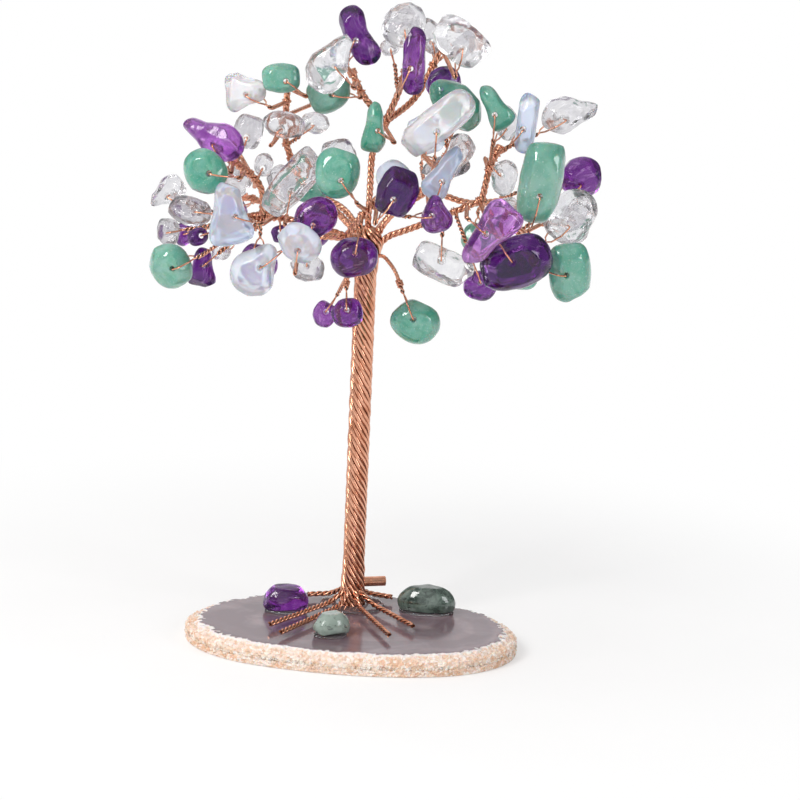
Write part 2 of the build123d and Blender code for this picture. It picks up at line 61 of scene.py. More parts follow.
# Lengths of the tree, as in the part's own source
TREE_HEIGHT = 115.0 * MM
CROWN_HALF_DEPTH = 30.0 * MM
BASE_TOP = 4.0 * MM
BASE_HALF_WIDTH = 30.0 * MM
TRUNK_RADIUS = 2.0 * MM
FOOT_RADIUS = 2.4 * MM
FOOT_HEIGHT = 9.0 * MM
COLLAR_RADIUS = 3.0 * MM
COLLAR_RISE = 8.0 * MM
STEM_DIAMETER = 1.7 * MM
HANGER_DIAMETER = 1.0 * MM
HANGER_DROP = 2.2 * MM
ROOT_DIAMETER = 1.2 * MM
ROOT_LEVEL = 5.15 * MM
ROOT_RISE = 1.6 * MM
ROOT_SPREAD = 2.0 * MM
WIRE_DIAMETER = 0.38 * MM
WIRE_CLEARANCE = 0.2 * MM
LEG_OFFSET = 0.215 * MM
TWIST_LENGTH = 1.0 * MM
TWIG_LEAD = 0.8 * MM
LOOP_BEND = 0.5 * MM
HINGE_CLEARANCE = 0.1 * MM

# Shares, as in the part's own source
KNOT_SHARE = 1.2
BEND_SHARE = 0.45
TWIG_BEND_SHARE = 0.9
HOLE_PLACE_SHARE = 0.30
LOOP_SHOULDER_SHARE = 0.72
LOOP_SLOPE_SHARE = 0.55
FIRST_TWIG_SHARE = 0.45
LAST_TWIG_SHARE = 0.97

# Shares of the shown wires in the part's own
STEM_SHOWN_SHARE = 0.76
LOOP_SHOWN_SHARE = 0.80
ROOT_SHOWN_SHARE = 0.85

# Stems, twigs and roots: how full they are of strands, and the turns of wire bound round a stem
STEM_FULL_SHARE = 1.12
STEM_CORE_SHARE = 0.8
TWIG_END_SHARE = 0.42
BINDING_SHARE = 0.985
BINDING_TURNS = 3.2
WRAP_TURNS = 1.6
WRAP_SINK_SHARE = 0.5
ROOT_STRANDS = 3
ROOT_FULL_SHARE = 1.05
ROOT_LAY = 3.6 * MM
ROOT_INSIDE_SHARE = 0.6
ROOT_TOP_SHARE = 1.2
ROOT_HIGH_SHARE = 0.7

# Forks at the collar: shares of the way out to a stem and of the collar's rise, and of the stem's diameter
FORK_LOW_SHARES = (0.22, 0.55)
FORK_HIP_SHARES = (0.42, 0.1)
FORK_END_SHARE = 1.6

# The rope: its top on the collar's dome, its core, the depth of the painted shade in its grooves, and how its
# strands swell and wander
ROPE_TOP_SHARE = 0.9
ROPE_CORE_SHARE = 0.72
ROPE_CORE_RINGS = 60
ROPE_CORE_SIDES = 28
ROPE_SKIN_SHARE = 1.01
GROOVE_SHADE_SHARE = 1.25
SWELL_SHARE = 0.026
SWELL_LENGTH = 7.4 * MM
SWELLS_ROUND = 3
WANDER_DEPTH = 0.05 * MM
WANDER_ANGLE = 0.07
WANDERS_PER_MM = 0.11
WANDER_APART = 7.3
UNEVEN_SHARE = 0.05
UNEVEN_TURN = 2.4

# The slice: the rind's ragged inner edge, its grains and lumps, its fall at the rim, and the flat underside
RIND_TIP_SHARE = 1.1
RIND_FALL = 0.7 * MM
RIND_INNER_SHARE = 0.75
RIND_SOFT_SHARE = 0.35
RAGGED_SIZE = 3.2 * MM
RAGGED_SHARE = 0.45
NICK_SIZE = 0.8 * MM
NICK_SHARE = 0.40
GRAIN_FULL_SHARE = 1.3
GRAIN_CUT = 0.42 * MM
LUMP_SIZE = 2.4 * MM
LUMP_CUT = 0.30 * MM
RIM_SLOPE = 0.3
UNDERSIDE_SLOPE = -0.8
UNDERSIDE_BAND = 0.3 * MM
UNDERSIDE_CUT_SHARE = 0.6
UNDERSIDE_REACH = 0.02 * MM

# Chips and glue: how flats and lumps are worn in, and how a puddle's outline waves
FLAT_TILT = 1.6
CHIP_APART = 50
WIDE_LUMPS = 1.7
FINE_LUMPS = 4.1
FINE_LUMP_SHARE = 0.5
LUMP_LEVEL = 0.6
CHIP_SMOOTH_TURNS = 2
GLUE_SMOOTH_TURNS = 6
SMOOTHING_SHARE = 0.5
GLUE_WAVE_SHARE = 0.10
GLUE_WAVE_SIZE = 3.0 * MM
GLUE_APART = 900
FIRST_BASE_SEED = 5000

# Finishes: the depth of their bumps, and how far light goes into the stones
POLISH_DEPTH = 0.1 * MM
SCRATCH_DEPTH = 0.05 * MM
GRAIN_DEPTH = 0.3 * MM
AMETHYST_GLOW = 1.5 * MM
AVENTURINE_GLOW = 2.0 * MM
OPALITE_GLOW = 2.5 * MM
AGATE_GLOW = 1.0 * MM

# How the tree was measured: pixels of a square photograph taken from in front, a little above
VIEW_TILT = radians(14.0)
VIEW_LEAN = radians(2.5)
VIEW_DISTANCE = 650.0 * MM
VIEW_CENTRE_PX = (400.0, 400.0)
VIEW_WIDTH_PX = 800.0
FOOT_PX = (352.0, 605.0)
COLLAR_PX = (369.0, 243.0)
TREE_PX = 600.0
PIXEL = (TREE_HEIGHT - BASE_TOP) * cos(VIEW_TILT) / TREE_PX

# The stage: the floor, which turns white with distance, two lamps and the camera's clipping
FLOOR_HALF = 3000.0 * MM
WHITE_START = 35.0 * MM
WHITE_END = 130.0 * MM
WHITE_NEAR_SHARE = 0.4
AIM_SHARE = 0.55
KEY_PLACE = Vector((-260.0, -300.0, 340.0)) * MM
KEY_SIZE = (160.0 * MM, 240.0 * MM)
KEY_TINT = (1.0, 0.985, 0.965)
FILL_PLACE = Vector((340.0, -220.0, 200.0)) * MM
FILL_SIZE = (140.0 * MM, 220.0 * MM)
FILL_TINT = (0.97, 0.98, 1.0)
CLIP_NEAR_SHARE = 0.05
CLIP_FAR_SHARE = 30.0

# How finely the pieces are modelled
STRAND_STEP = 0.5 * MM
STEM_STEP_SHARE = 0.6
TWIG_STEP = 0.14 * MM
LOOP_STEP_SHARE = 1.3
ROOT_STEP = 0.25 * MM
PATH_STEP = 0.05 * MM
GROOVE_SHADE_STEP = 0.3 * MM
ARC_STEPS = 8
COIL_STEPS = 18
MERGE_REACH = 0.002 * MM
STONE_VOXEL = 0.2 * MM
SLICE_VOXEL = 0.18 * MM
GLUE_VOXEL = 0.2 * MM


class Stone(NamedTuple):
    """One chip: its middle in pixels, its turn and face in degrees, its stem and its depth of colour."""

    kind: str
    spot_px: tuple
    back_share: float
    turn: float
    face: tuple
    stem: int
    depth: float
    loose_name: str = ""


class Branch(NamedTuple):
    """One branch: its stems' points in pixels with depth shares, and its stones from the inside out."""

    diameter: float
    stems: list
    stones: list
    drop: float = 0.0


BRANCHES = {
    "left": Branch(
        STEM_DIAMETER,
        [
            [(310, 224, -0.10), (264, 214, -0.05), (234, 222, 0.10)],
            [(264, 214, -0.05), (262, 183, -0.05), (232, 160, -0.05)],
        ],
        [
            Stone("quartz", (293, 182), -0.47, 49, (0, 0), 0, 0.15),
            Stone("amethyst", (281, 234), -0.15, 20, (0, 0), 0, 0.90),
            Stone("opalite", (229, 213), -0.60, -85, (0, 5), 0, 0.55),
            Stone("quartz", (221, 252), 0.20, 20, (-30, 10), 0, 0.20),
            Stone("amethyst", (202, 267), -0.10, -95, (-10, 0), 0, 0.75),
            Stone("aventurine", (171, 266), -0.37, 125, (-15, -10), 0, 0.35),
            Stone("quartz", (190, 211), -0.23, -10, (-10, 10), 0, 0.60),
            Stone("amethyst", (198, 237), -0.12, 30, (10, 15), 0, 0.85),
            Stone("quartz", (168, 232), 0.05, 80, (-30, 0), 0, 0.40),
            Stone("quartz", (167, 192), 0.00, 215, (-20, 0), 0, 0.15, "left_tip_quartz"),
            Stone("amethyst", (184, 234), 0.38, 60, (-25, 0), 0, 0.60),
            Stone("quartz", (264, 165), 0.36, 90, (0, 10), 1, 0.15),
            Stone("quartz", (238, 182), 0.29, 60, (15, 0), 1, 0.25),
            Stone("aventurine", (205, 171), -0.43, -60, (-10, 5), 1, 0.75),
            Stone("quartz", (248, 132), 0.17, 70, (10, 10), 1, 0.35),
            Stone("amethyst", (213, 137), -0.17, 155, (-15, 10), 1, 0.28, "left_drop_amethyst"),
        ],
    ),
    "upper_left": Branch(
        STEM_DIAMETER,
        [[(330, 205, 0.10), (296, 170, 0.10), (284, 140, 0.17), (288, 82, 0.12)]],
        [
            Stone("aventurine", (311, 189), -0.10, 10, (10, 0), 0, 0.70),
            Stone("quartz", (315, 123), 0.12, -10, (15, 10), 0, 0.10),
            Stone("quartz", (284, 125), -0.05, -8, (-10, 0), 0, 0.10),
            Stone("opalite", (328, 80), 0.40, 60, (150, 10), 0, 0.40),
            Stone("opalite", (246, 91), -0.13, 185, (-20, 5), 0, 0.05),
            Stone("aventurine", (281, 78), -0.33, 0, (5, 10), 0, 0.45, "upper_left_tip_aventurine"),
        ],
    ),
    "top": Branch(
        STEM_DIAMETER,
        [
            [(370, 190, 0.00), (372, 150, 0.00), (385, 122, 0.00)],
            [(385, 122, 0.00), (362, 95, 0.00), (352, 72, 0.05)],
            [(385, 122, 0.00), (398, 95, 0.03), (408, 62, 0.08)],
            [(385, 122, 0.00), (418, 98, 0.18), (442, 46, 0.26)],
        ],
        [
            Stone("aventurine", (374, 127), -0.50, -95, (5, 0), 0, 0.95),
            Stone("aventurine", (328, 92), -0.13, 45, (-10, 0), 1, 0.50),
            Stone("quartz", (332, 62), -0.43, 60, (-5, 10), 1, 0.10, "top_drop_quartz"),
            Stone("amethyst", (360, 35), -0.20, 115, (-10, 10), 1, 0.72),
            Stone("quartz", (390, 47), 0.10, 40, (0, 0), 2, 0.20),
            Stone("amethyst", (414, 61), -0.47, 88, (0, 5), 2, 0.48),
            Stone("quartz", (404, 30), 0.35, 60, (170, 10), 2, 0.20),
            Stone("quartz", (404, 25), -0.17, 60, (0, 15), 2, 0.15),
            Stone("quartz", (462, 46), 0.42, 20, (200, 10), 3, 0.20),
            Stone("quartz", (430, 36), 0.12, 100, (10, 0), 3, 0.25),
            Stone("quartz", (461, 42), -0.35, -40, (10, 10), 3, 0.05, "top_tip_quartz"),
        ],
    ),
    "upper_right": Branch(
        STEM_DIAMETER,
        [[(400, 205, 0.02), (430, 185, -0.02), (456, 138, 0.00)]],
        [
            Stone("opalite", (444, 172), -0.58, 237, (5, 5), 0, 0.70),
            Stone("opalite", (437, 124), -0.60, 39, (0, 5), 0, 0.15),
            Stone("quartz", (446, 167), 0.30, 10, (0, 0), 0, 0.90),
            Stone("quartz", (460, 150), -0.36, 60, (10, 0), 0, 0.15),
            Stone("aventurine", (456, 104), -0.18, -48, (5, 0), 0, 0.60),
            Stone("amethyst", (443, 83), 0.03, 30, (10, 0), 0, 0.82),
            Stone("aventurine", (458, 104), 0.48, 20, (195, 5), 0, 0.50),
        ],
    ),
    "right": Branch(
        STEM_DIAMETER,
        [
            [(410, 229, -0.05), (445, 216, -0.10), (482, 200, -0.10)],
            [(482, 200, -0.10), (490, 165, -0.08), (500, 148, -0.04)],
            [(482, 200, -0.10), (508, 212, 0.00), (530, 246, 0.10)],
        ],
        [
            Stone("quartz", (441, 264), -0.50, -25, (0, 0), 0, 0.05),
            Stone("amethyst", (480, 286), -0.27, 0, (10, 0), 0, 0.55),
            Stone("amethyst", (489, 235), -0.80, 50, (0, 5), 0, 0.15),
            Stone("amethyst", (515, 263), -0.55, 20, (5, -5), 0, 0.95, "right_dark_amethyst"),
            Stone("quartz", (504, 178), 0.20, 80, (0, 0), 1, 0.20),
            Stone("aventurine", (495, 107), -0.27, -60, (0, 5), 1, 0.55),
            Stone("quartz", (507, 122), 0.13, -70, (10, 0), 1, 0.15),
            Stone("opalite", (527, 123), -0.28, 82, (0, 0), 1, 0.60),
            Stone("quartz", (570, 114), -0.10, 10, (15, 5), 1, 0.20, "right_tip_quartz"),
            Stone("quartz", (508, 207), -0.25, 20, (0, 0), 2, 0.20),
            Stone("aventurine", (518, 272), 0.28, 20, (170, -10), 2, 0.50),
            Stone("aventurine", (541, 181), -0.40, 80, (5, 0), 2, 0.30),
            Stone("amethyst", (581, 178), 0.17, 20, (20, 0), 2, 0.62, "right_tip_amethyst"),
            Stone("quartz", (571, 226), 0.38, 30, (160, 0), 2, 0.20),
            Stone("quartz", (571, 217), -0.13, 60, (15, 0), 2, 0.10),
            Stone("aventurine", (570, 272), -0.37, 95, (10, -5), 2, 0.62),
        ],
    ),
    "front": Branch(
        STEM_DIAMETER,
        [
            [(356, 236, -0.24), (345, 238, -0.36)],
            [(345, 238, -0.36), (322, 236, -0.38), (292, 240, -0.36)],
            [(345, 238, -0.36), (362, 215, -0.42), (378, 200, -0.40)],
        ],
        [
            Stone("amethyst", (316, 218), -0.60, 40, (-5, 5), 1, 0.55),
            Stone("quartz", (307, 268), -0.30, -20, (0, -5), 1, 0.30),
            Stone("opalite", (299, 243), -0.82, -30, (0, 0), 1, 0.35),
            Stone("opalite", (257, 268), -0.50, 55, (-10, -5), 1, 0.30, "front_drop_opalite"),
            Stone("amethyst", (354, 258), -0.62, 20, (0, 0), 2, 0.78),
            Stone("aventurine", (337, 173), -0.70, 80, (0, 5), 2, 0.85, "front_egg_aventurine"),
            Stone("amethyst", (436, 214), -0.80, 95, (5, 0), 2, 0.50),
            Stone("amethyst", (397, 192), -0.92, 65, (5, 5), 2, 1.00),
        ],
    ),
    "right_hanger": Branch(
        HANGER_DIAMETER,
        [[(384, 256, -0.16), (395, 270, -0.22), (400, 284, -0.24)]],
        [Stone("aventurine", (415, 322), -0.27, -20, (5, -5), 0, 0.65, "hanging_aventurine")],
        HANGER_DROP,
    ),
    "left_hanger": Branch(
        HANGER_DIAMETER,
        [[(352, 264, -0.28), (346, 284, -0.28)]],
        [
            Stone("amethyst", (325, 314), -0.05, 80, (-10, 0), 0, 0.40),
            Stone("amethyst", (347, 313), -0.32, 10, (0, 0), 0, 0.58, "hanging_amethyst"),
        ],
        HANGER_DROP,
    ),
    "back_left": Branch(
        STEM_DIAMETER,
        [
            [(345, 208, 0.30), (310, 192, 0.45)],
            [(310, 192, 0.45), (270, 204, 0.50), (242, 196, 0.46)],
        ],
        [
            Stone("quartz", (340, 160), 0.75, 70, (185, 10), 0, 0.15),
            Stone("amethyst", (312, 230), 0.62, 20, (170, 0), 0, 0.70),
            Stone("quartz", (286, 184), 0.80, 30, (170, 0), 1, 0.20),
            Stone("amethyst", (259, 262), 0.42, 20, (160, -10), 1, 0.50),
            Stone("amethyst", (231, 212), 0.70, 60, (155, -5), 1, 0.40),
            Stone("quartz", (206, 166), 0.60, 30, (150, 0), 1, 0.20),
        ],
    ),
    "back_right": Branch(
        STEM_DIAMETER,
        [
            [(392, 212, 0.32), (430, 190, 0.50)],
            [(430, 190, 0.50), (470, 205, 0.45), (505, 200, 0.42)],
        ],
        [
            Stone("opalite", (396, 180), 0.75, 40, (180, 5), 0, 0.40),
            Stone("opalite", (426, 134), 0.75, 60, (190, 10), 0, 0.40),
            Stone("aventurine", (480, 240), 0.52, 20, (200, -5), 1, 0.50),
            Stone("aventurine", (538, 183), 0.55, 80, (205, 0), 1, 0.60),
        ],
    ),
}

# The roots: the way each leaves the trunk, in degrees, and its tip in pixels
ROOTS = [
    (143.0, (308, 594)),
    (214.0, (270, 624)),
    (244.0, (281, 632)),
    (322.0, (413, 626)),
    (286.0, (389, 635)),
    (52.0, (392, 597)),
]

# The chips glued on the slice, with the kind and depth of their colour
BASE_STONES = {
    "base_amethyst": ("amethyst", 0.50),
    "base_aventurine": ("moss", -0.30),
    "base_moss_stone": ("moss", 0.88),
}


# Settings that a user would change

def colour_setting(name, description, colour):
    return FloatVectorProperty(name=name, description=description, subtype="COLOR", size=3, default=colour)


def length_setting(name, description, length):
    return FloatProperty(name=name, description=description, default=length, unit="LENGTH")


def power_setting(name, description, power):
    return FloatProperty(name=name, description=description, default=power, unit="POWER")


def share_setting(name, description, share, most=1.0):
    return FloatProperty(
        name=name, description=description, default=share, subtype="FACTOR", min=0.0, max=most
    )


def count_setting(name, description, count, least, most):
    return IntProperty(name=name, description=description, default=count, min=least, max=most)


class WireSettings(bpy.types.PropertyGroup):
    """Sizes and colours of the copper wire."""

    rope_strands: count_setting("Rope strands", "Wires seen round the outside of the trunk", 13, 6, 40)
    rope_lay: length_setting("Rope lay", "Height in which a strand of the trunk goes once round", 18.0 * MM)
    rope_strand: length_setting("Rope strand", "Diameter of one strand of the trunk", 0.82 * MM)
    stem_strands: count_setting("Stem strands", "Wires seen round the outside of a stem", 3, 3, 12)
    stem_lay: length_setting("Stem lay", "Length in which a strand of a stem goes once round", 4.2 * MM)
    twig_lay: length_setting("Twig lay", "Length in which the two wires of a twig go once round", 1.6 * MM)
    copper: colour_setting("Copper", "Colour of the bright copper", (0.82, 0.42, 0.28))
    # The groove colour is painted shade: deep between the strands the copper is darkened towards it, where
    # shade falls.
    groove_shade: colour_setting("Groove", "Colour of the copper deep between the strands", (0.10, 0.024, 0.011))


class StoneSettings(bpy.types.PropertyGroup):
    """Colours and finish of the chips."""

    amethyst_pale: colour_setting("Pale amethyst", "The palest amethyst", (0.90, 0.64, 0.95))
    amethyst_deep: colour_setting("Deep amethyst", "The deepest amethyst", (0.085, 0.005, 0.17))
    aventurine_pale: colour_setting("Pale aventurine", "The palest aventurine", (0.25, 0.47, 0.38))
    aventurine_deep: colour_setting("Deep aventurine", "The deepest aventurine", (0.05, 0.38, 0.26))
    quartz_pale: colour_setting("Clear quartz", "The clearest quartz", (0.97, 0.97, 0.98))
    quartz_deep: colour_setting("Smoky quartz", "The smokiest quartz", (0.42, 0.40, 0.43))
    opalite_pale: colour_setting("White opalite", "The whitest opalite", (0.96, 0.95, 0.98))
    opalite_deep: colour_setting("Blue opalite", "The bluest opalite", (0.52, 0.68, 1.0))
    moss_pale: colour_setting("Pale moss stone", "The palest moss stone", (0.20, 0.27, 0.23))
    moss_deep: colour_setting("Deep moss stone", "The deepest moss stone", (0.030, 0.055, 0.042))
    facet_share: share_setting(
        "Facets", "How deep the worn flats of a chip are cut, as a share of its size", 0.11, 0.3
    )


class BaseSettings(bpy.types.PropertyGroup):
    """Sizes and colours of the slice of agate."""

    rind_width: length_setting("Rind width", "Width of the rough rind on the top of the slice", 1.7 * MM)
    grain: length_setting("Rind grain", "Size of the grains of the rind", 0.56 * MM)
    agate: colour_setting("Agate", "Colour of the polished agate", (0.165, 0.112, 0.132))
    band: colour_setting("Bands", "Colour of the agate's paler bands", (0.26, 0.185, 0.205))
    rind: colour_setting("Rind", "Colour of the rind", (0.74, 0.49, 0.34))
    rind_pale: colour_setting("Pale rind", "Colour of the rind's white grains", (0.84, 0.72, 0.64))


class StageSettings(bpy.types.PropertyGroup):
    """Floor and light."""

    floor: colour_setting("Floor", "Colour of the floor", (0.93, 0.925, 0.925))
    key: power_setting("Key light", "Power of the light from the left", 1.5)
    fill: power_setting("Fill light", "Power of the light from the right", 0.45)
    far_side: share_setting(
        "Far side", "How bright the surround is on the side away from the key light", 0.32
    )
    surround: share_setting("Surround", "How bright the dimmer parts of the surround are", 0.34)


# Where things are

def straighten(spot_px):
    """A pixel's place to the right of and above the photograph's middle, with the lean taken out."""
    right = spot_px[0] - VIEW_CENTRE_PX[0]
    up = VIEW_CENTRE_PX[1] - spot_px[1]
    across = right * cos(VIEW_LEAN) - up * sin(VIEW_LEAN)
    lift = right * sin(VIEW_LEAN) + up * cos(VIEW_LEAN)
    return across * PIXEL, lift * PIXEL


def seen_at_depth(spot_px, y):
    """The point at depth y that the photograph shows at a pixel, from the middle of the view."""
    across, lift = straighten(spot_px)
    nearness = 1 + y * cos(VIEW_TILT) / VIEW_DISTANCE
    height = (lift * nearness - y * sin(VIEW_TILT)) / (cos(VIEW_TILT) + lift * sin(VIEW_TILT) / VIEW_DISTANCE)
    scale = nearness - height * sin(VIEW_TILT) / VIEW_DISTANCE
    return Vector((across * scale, y, height))


VIEW_CENTRE = Vector((0, 0, BASE_TOP)) - seen_at_depth(FOOT_PX, 0)
COLLAR = Vector((0, 0, (seen_at_depth(COLLAR_PX, 0) + VIEW_CENTRE).z))


def crown_point(u, v, back_share):
    return seen_at_depth((u, v), back_share * CROWN_HALF_DEPTH) + VIEW_CENTRE


def slab_point(spot_px, z):
    """The point at height z that the photograph shows at a pixel."""
    lift = straighten(spot_px)[1]
    height = z - VIEW_CENTRE.z
    near_lift = lift * (1 - height * sin(VIEW_TILT) / VIEW_DISTANCE)
    y = (near_lift - height * cos(VIEW_TILT)) / (sin(VIEW_TILT) - lift * cos(VIEW_TILT) / VIEW_DISTANCE)
    point = seen_at_depth(spot_px, y) + VIEW_CENTRE
    return Vector((point.x, point.y, z))


def stone_matrix(stone):
    """The place of a stone, with x along its length and z out of its face."""
    yaw = radians(stone.face[0])
    pitch = radians(stone.face[1])
    out = Vector((sin(yaw) * cos(pitch), -cos(yaw) * cos(pitch), sin(pitch)))
    right = Vector((cos(yaw), sin(yaw), 0))
    turn = radians(stone.turn) + VIEW_LEAN
    along = right * cos(turn) + out.cross(right) * sin(turn)
    axes = Matrix((along, out.cross(along), out)).transposed().to_4x4()
    return Matrix.Translation(crown_point(*stone.spot_px, stone.back_share)) @ axes


# Wire paths

def rounded_path(points, largest_bend=None, bend_share=BEND_SHARE):
    """Points along straight runs joined by arcs, each as wide as its runs allow, or as the largest bend."""
    path = [points[0]]
    for before, corner, after in zip(points, points[1:], points[2:]):
        back = before - corner
        ahead = after - corner
        half_turn = (pi - back.angle(ahead)) / 2
        if half_turn < radians(1):
            path.append(corner)
            continue
        reach = bend_share * min(back.length, ahead.length)
        if largest_bend is not None:
            reach = min(reach, largest_bend * tan(half_turn))
        handle = 4 / 3 * tan(half_turn / 2) * reach / tan(half_turn)
        start = corner + back.normalized() * reach
        end = corner + ahead.normalized() * reach
        out_handle = start - back.normalized() * handle
        in_handle = end - ahead.normalized() * handle
        path += geometry.interpolate_bezier(start, out_handle, in_handle, end, ARC_STEPS)
    path.append(points[-1])
    return path


def even_path(points, step):
    """The same path with its points a step apart."""
    runs = [(b - a).length for a, b in zip(points, points[1:])]
    total = sum(runs)
    count = max(2, round(total / step))
    even = [points[0].copy()]
    passed = 0.0
    place = 0
    for number in range(1, count):
        wanted = total * number / count
        while passed + runs[place] < wanted:
            passed += runs[place]
            place += 1
        even.append(points[place].lerp(points[place + 1], (wanted - passed) / runs[place]))
    even.append(points[-1].copy())
    return even


def path_at(points, share):
    """The point at a share of a path's length, and the path's way there."""
    even = even_path(points, PATH_STEP)
    reach = share * (len(even) - 1)
    place = min(len(even) - 2, int(reach))
    way = (even[place + 1] - even[place]).normalized()
    return even[place].lerp(even[place + 1], reach - place), way


def path_length(points):
    return sum((b - a).length for a, b in zip(points, points[1:]))


def carried_axes(points, first_side=None):
    """Two axes square to the path at each point, carried along it without turning."""
    ways = [(b - a).normalized() for a, b in zip(points, points[1:])]
    ways.append(ways[-1])
    side = first_side or ways[0].orthogonal()
    axes = []
    for way in ways:
        side = (side - way * side.dot(way)).normalized()
        axes.append((side, way.cross(side)))
    return axes


def twisted(points, step, strands, ring, lay, first_side=None):
    """Strands that wind round a path, with their middles on a ring. The lay is the length of one turn."""
    even = even_path(points, step)
    axes = carried_axes(even, first_side)
    gap = path_length(even) / (len(even) - 1)
    wound = []
    for strand in range(strands):
        line = []
        for number, (point, (side, across)) in enumerate(zip(even, axes)):
            angle = tau * strand / strands - tau * number * gap / lay
            line.append(point + (side * cos(angle) + across * sin(angle)) * ring)
        wound.append(line)
    return wound


def coiled(points, share, turns, ring, pitch):
    """One wire wound a few turns round a path at a share of its length."""
    middle, way = path_at(points, share)
    side = way.orthogonal().normalized()
    across = way.cross(side)
    steps = int(COIL_STEPS * turns)
    line = []
    for number in range(steps + 1):
        angle = tau * turns * number / steps
        shift = pitch * turns * (number / steps - 0.5)
        line.append(middle + way * shift + (side * cos(angle) + across * sin(angle)) * ring)
    return line


# Meshes

def evaluated_mesh(holder):
    """The mesh of an object with its bevel or modifiers worked out. The object is then removed."""
    bpy.context.scene.collection.objects.link(holder)
    graph = bpy.context.evaluated_depsgraph_get()
    mesh = bpy.data.meshes.new_from_object(holder.evaluated_get(graph))
    bpy.data.objects.remove(holder)
    return mesh


def to_mesh(name, shape):
    """A mesh from a bmesh, which is then freed."""
    mesh = bpy.data.meshes.new(name)
    shape.to_mesh(mesh)
    shape.free()
    return mesh


def take_in(whole, shape):
    """Adds one bmesh to another, and frees it."""
    mesh = to_mesh("taken in", shape)
    whole.from_mesh(mesh)
    bpy.data.meshes.remove(mesh)


def smooth_out(shape, turns):
    """Evens out a bmesh a number of times."""
    axes = {f"use_axis_{axis}": True for axis in "xyz"}
    for turn in range(turns):
        bmesh.ops.smooth_vert(shape, verts=shape.verts, factor=SMOOTHING_SHARE, **axes)


def tube_mesh(name, lines):
    """Closed round tubes along lines of points, each line with its own radius."""
    curve = bpy.data.curves.new(name, "CURVE")
    curve.dimensions = "3D"
    curve.bevel_depth = 1.0
    curve.bevel_resolution = 1
    curve.use_fill_caps = True
    for points, radius in lines:
        spline = curve.splines.new("POLY")
        spline.points.add(len(points) - 1)
        for place, point in zip(spline.points, points):
            place.co = (*point, 1.0)
            place.radius = radius
    mesh = evaluated_mesh(bpy.data.objects.new(name, curve))
    bpy.data.curves.remove(curve)
    return mesh


def add_piece(name, mesh, material):
    """A finished piece from a mesh, with smooth faces and one material."""
    mesh.name = name
    mesh.materials.clear()
    mesh.materials.append(material)
    mesh.shade_smooth()
    piece = bpy.data.objects.new(name, mesh)
    bpy.context.scene.collection.objects.link(piece)
    return piece


# Writes a point attribute of how deep each point lies, which the copper uses to paint shade between its
# strands.
def write_groove_shade(mesh, depths):
    groove_shade = mesh.attributes.new("groove_shade", "FLOAT", "POINT")
    groove_shade.data.foreach_set("value", depths)


def mark_groove_shade(mesh, bundles):
    """Writes how deep each point lies in its bundle, 0 on the outside and 1 at the bundle's middle, for the
    copper's painted shade between strands.
    """
    places = [(point, radius) for points, radius in bundles for point in even_path(points, GROOVE_SHADE_STEP)]
    tree = kdtree.KDTree(len(places))
    for number, place in enumerate(places):
        tree.insert(place[0], number)
    tree.balance()
    depths = []
    for vertex in mesh.vertices:
        number, distance = tree.find(vertex.co)[1:]
        depths.append(max(0.0, min(1.0, 1.0 - distance / places[number][1])))
    write_groove_shade(mesh, depths)


def wire_piece(name, lines, bundles):
    """One piece of copper wires, with shade painted darker deep inside its twisted bundles."""
    mesh = tube_mesh(name, lines)
    mark_groove_shade(mesh, bundles)
    return add_piece(name, mesh, finish_of("twisted copper"))


def remeshed(shape, voxel):
    """A closed shape made again with even faces."""
    mesh = to_mesh("remesh", shape)
    holder = bpy.data.objects.new("remesh", mesh)
    change = holder.modifiers.new("remesh", "REMESH")
    change.mode = "VOXEL"
    change.voxel_size = voxel
    change.use_smooth_shade = True
    made = evaluated_mesh(holder)
    bpy.data.meshes.remove(mesh)
    fresh = bmesh.new()
    fresh.from_mesh(made)
    bpy.data.meshes.remove(made)
    return fresh


def node_islands(node):
    """The separate solids of a CAD node, each as a merged bmesh of its own."""
    whole = bmesh.new()
    whole.from_mesh(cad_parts[node].data)
    bmesh.ops.remove_doubles(whole, verts=whole.verts, dist=MERGE_REACH)
    whole.verts.ensure_lookup_table()
    group_of = {}
    groups = 0
    for start in whole.verts:
        if start.index in group_of:
            continue
        group_of[start.index] = groups
        waiting = [start]
        while waiting:
            for edge in waiting.pop().link_edges:
                for vertex in edge.verts:
                    if vertex.index not in group_of:
                        group_of[vertex.index] = groups
                        waiting.append(vertex)
        groups += 1
    islands = []
    for group in range(groups):
        island = whole.copy()
        others = [vertex for vertex in island.verts if group_of[vertex.index] != group]
        bmesh.ops.delete(island, geom=others, context="VERTS")
        islands.append(island)
    whole.free()
    return islands


def island_middle(island):
    low = Vector([min(vertex.co[axis] for vertex in island.verts) for axis in range(3)])
    high = Vector([max(vertex.co[axis] for vertex in island.verts) for axis in range(3)])
    return (low + high) / 2


def stone_tint(kind, depth):
    settings = bpy.context.scene.gem_tree_stones
    pale = getattr(settings, f"{kind}_pale")
    deep = getattr(settings, f"{kind}_deep")
    return [light ** (1 - depth) * dark**depth for light, dark in zip(pale, deep)]


# How each kind of chip is worn: how many flats, how strong they are, and its lumps as a share of its size
WEAR = {
    "amethyst": (9, 0.85, 0.030),
    "aventurine": (6, 0.55, 0.018),
    "quartz": (11, 0.90, 0.045),
    "opalite": (7, 0.75, 0.022),
    "moss": (6, 0.70, 0.020),
}


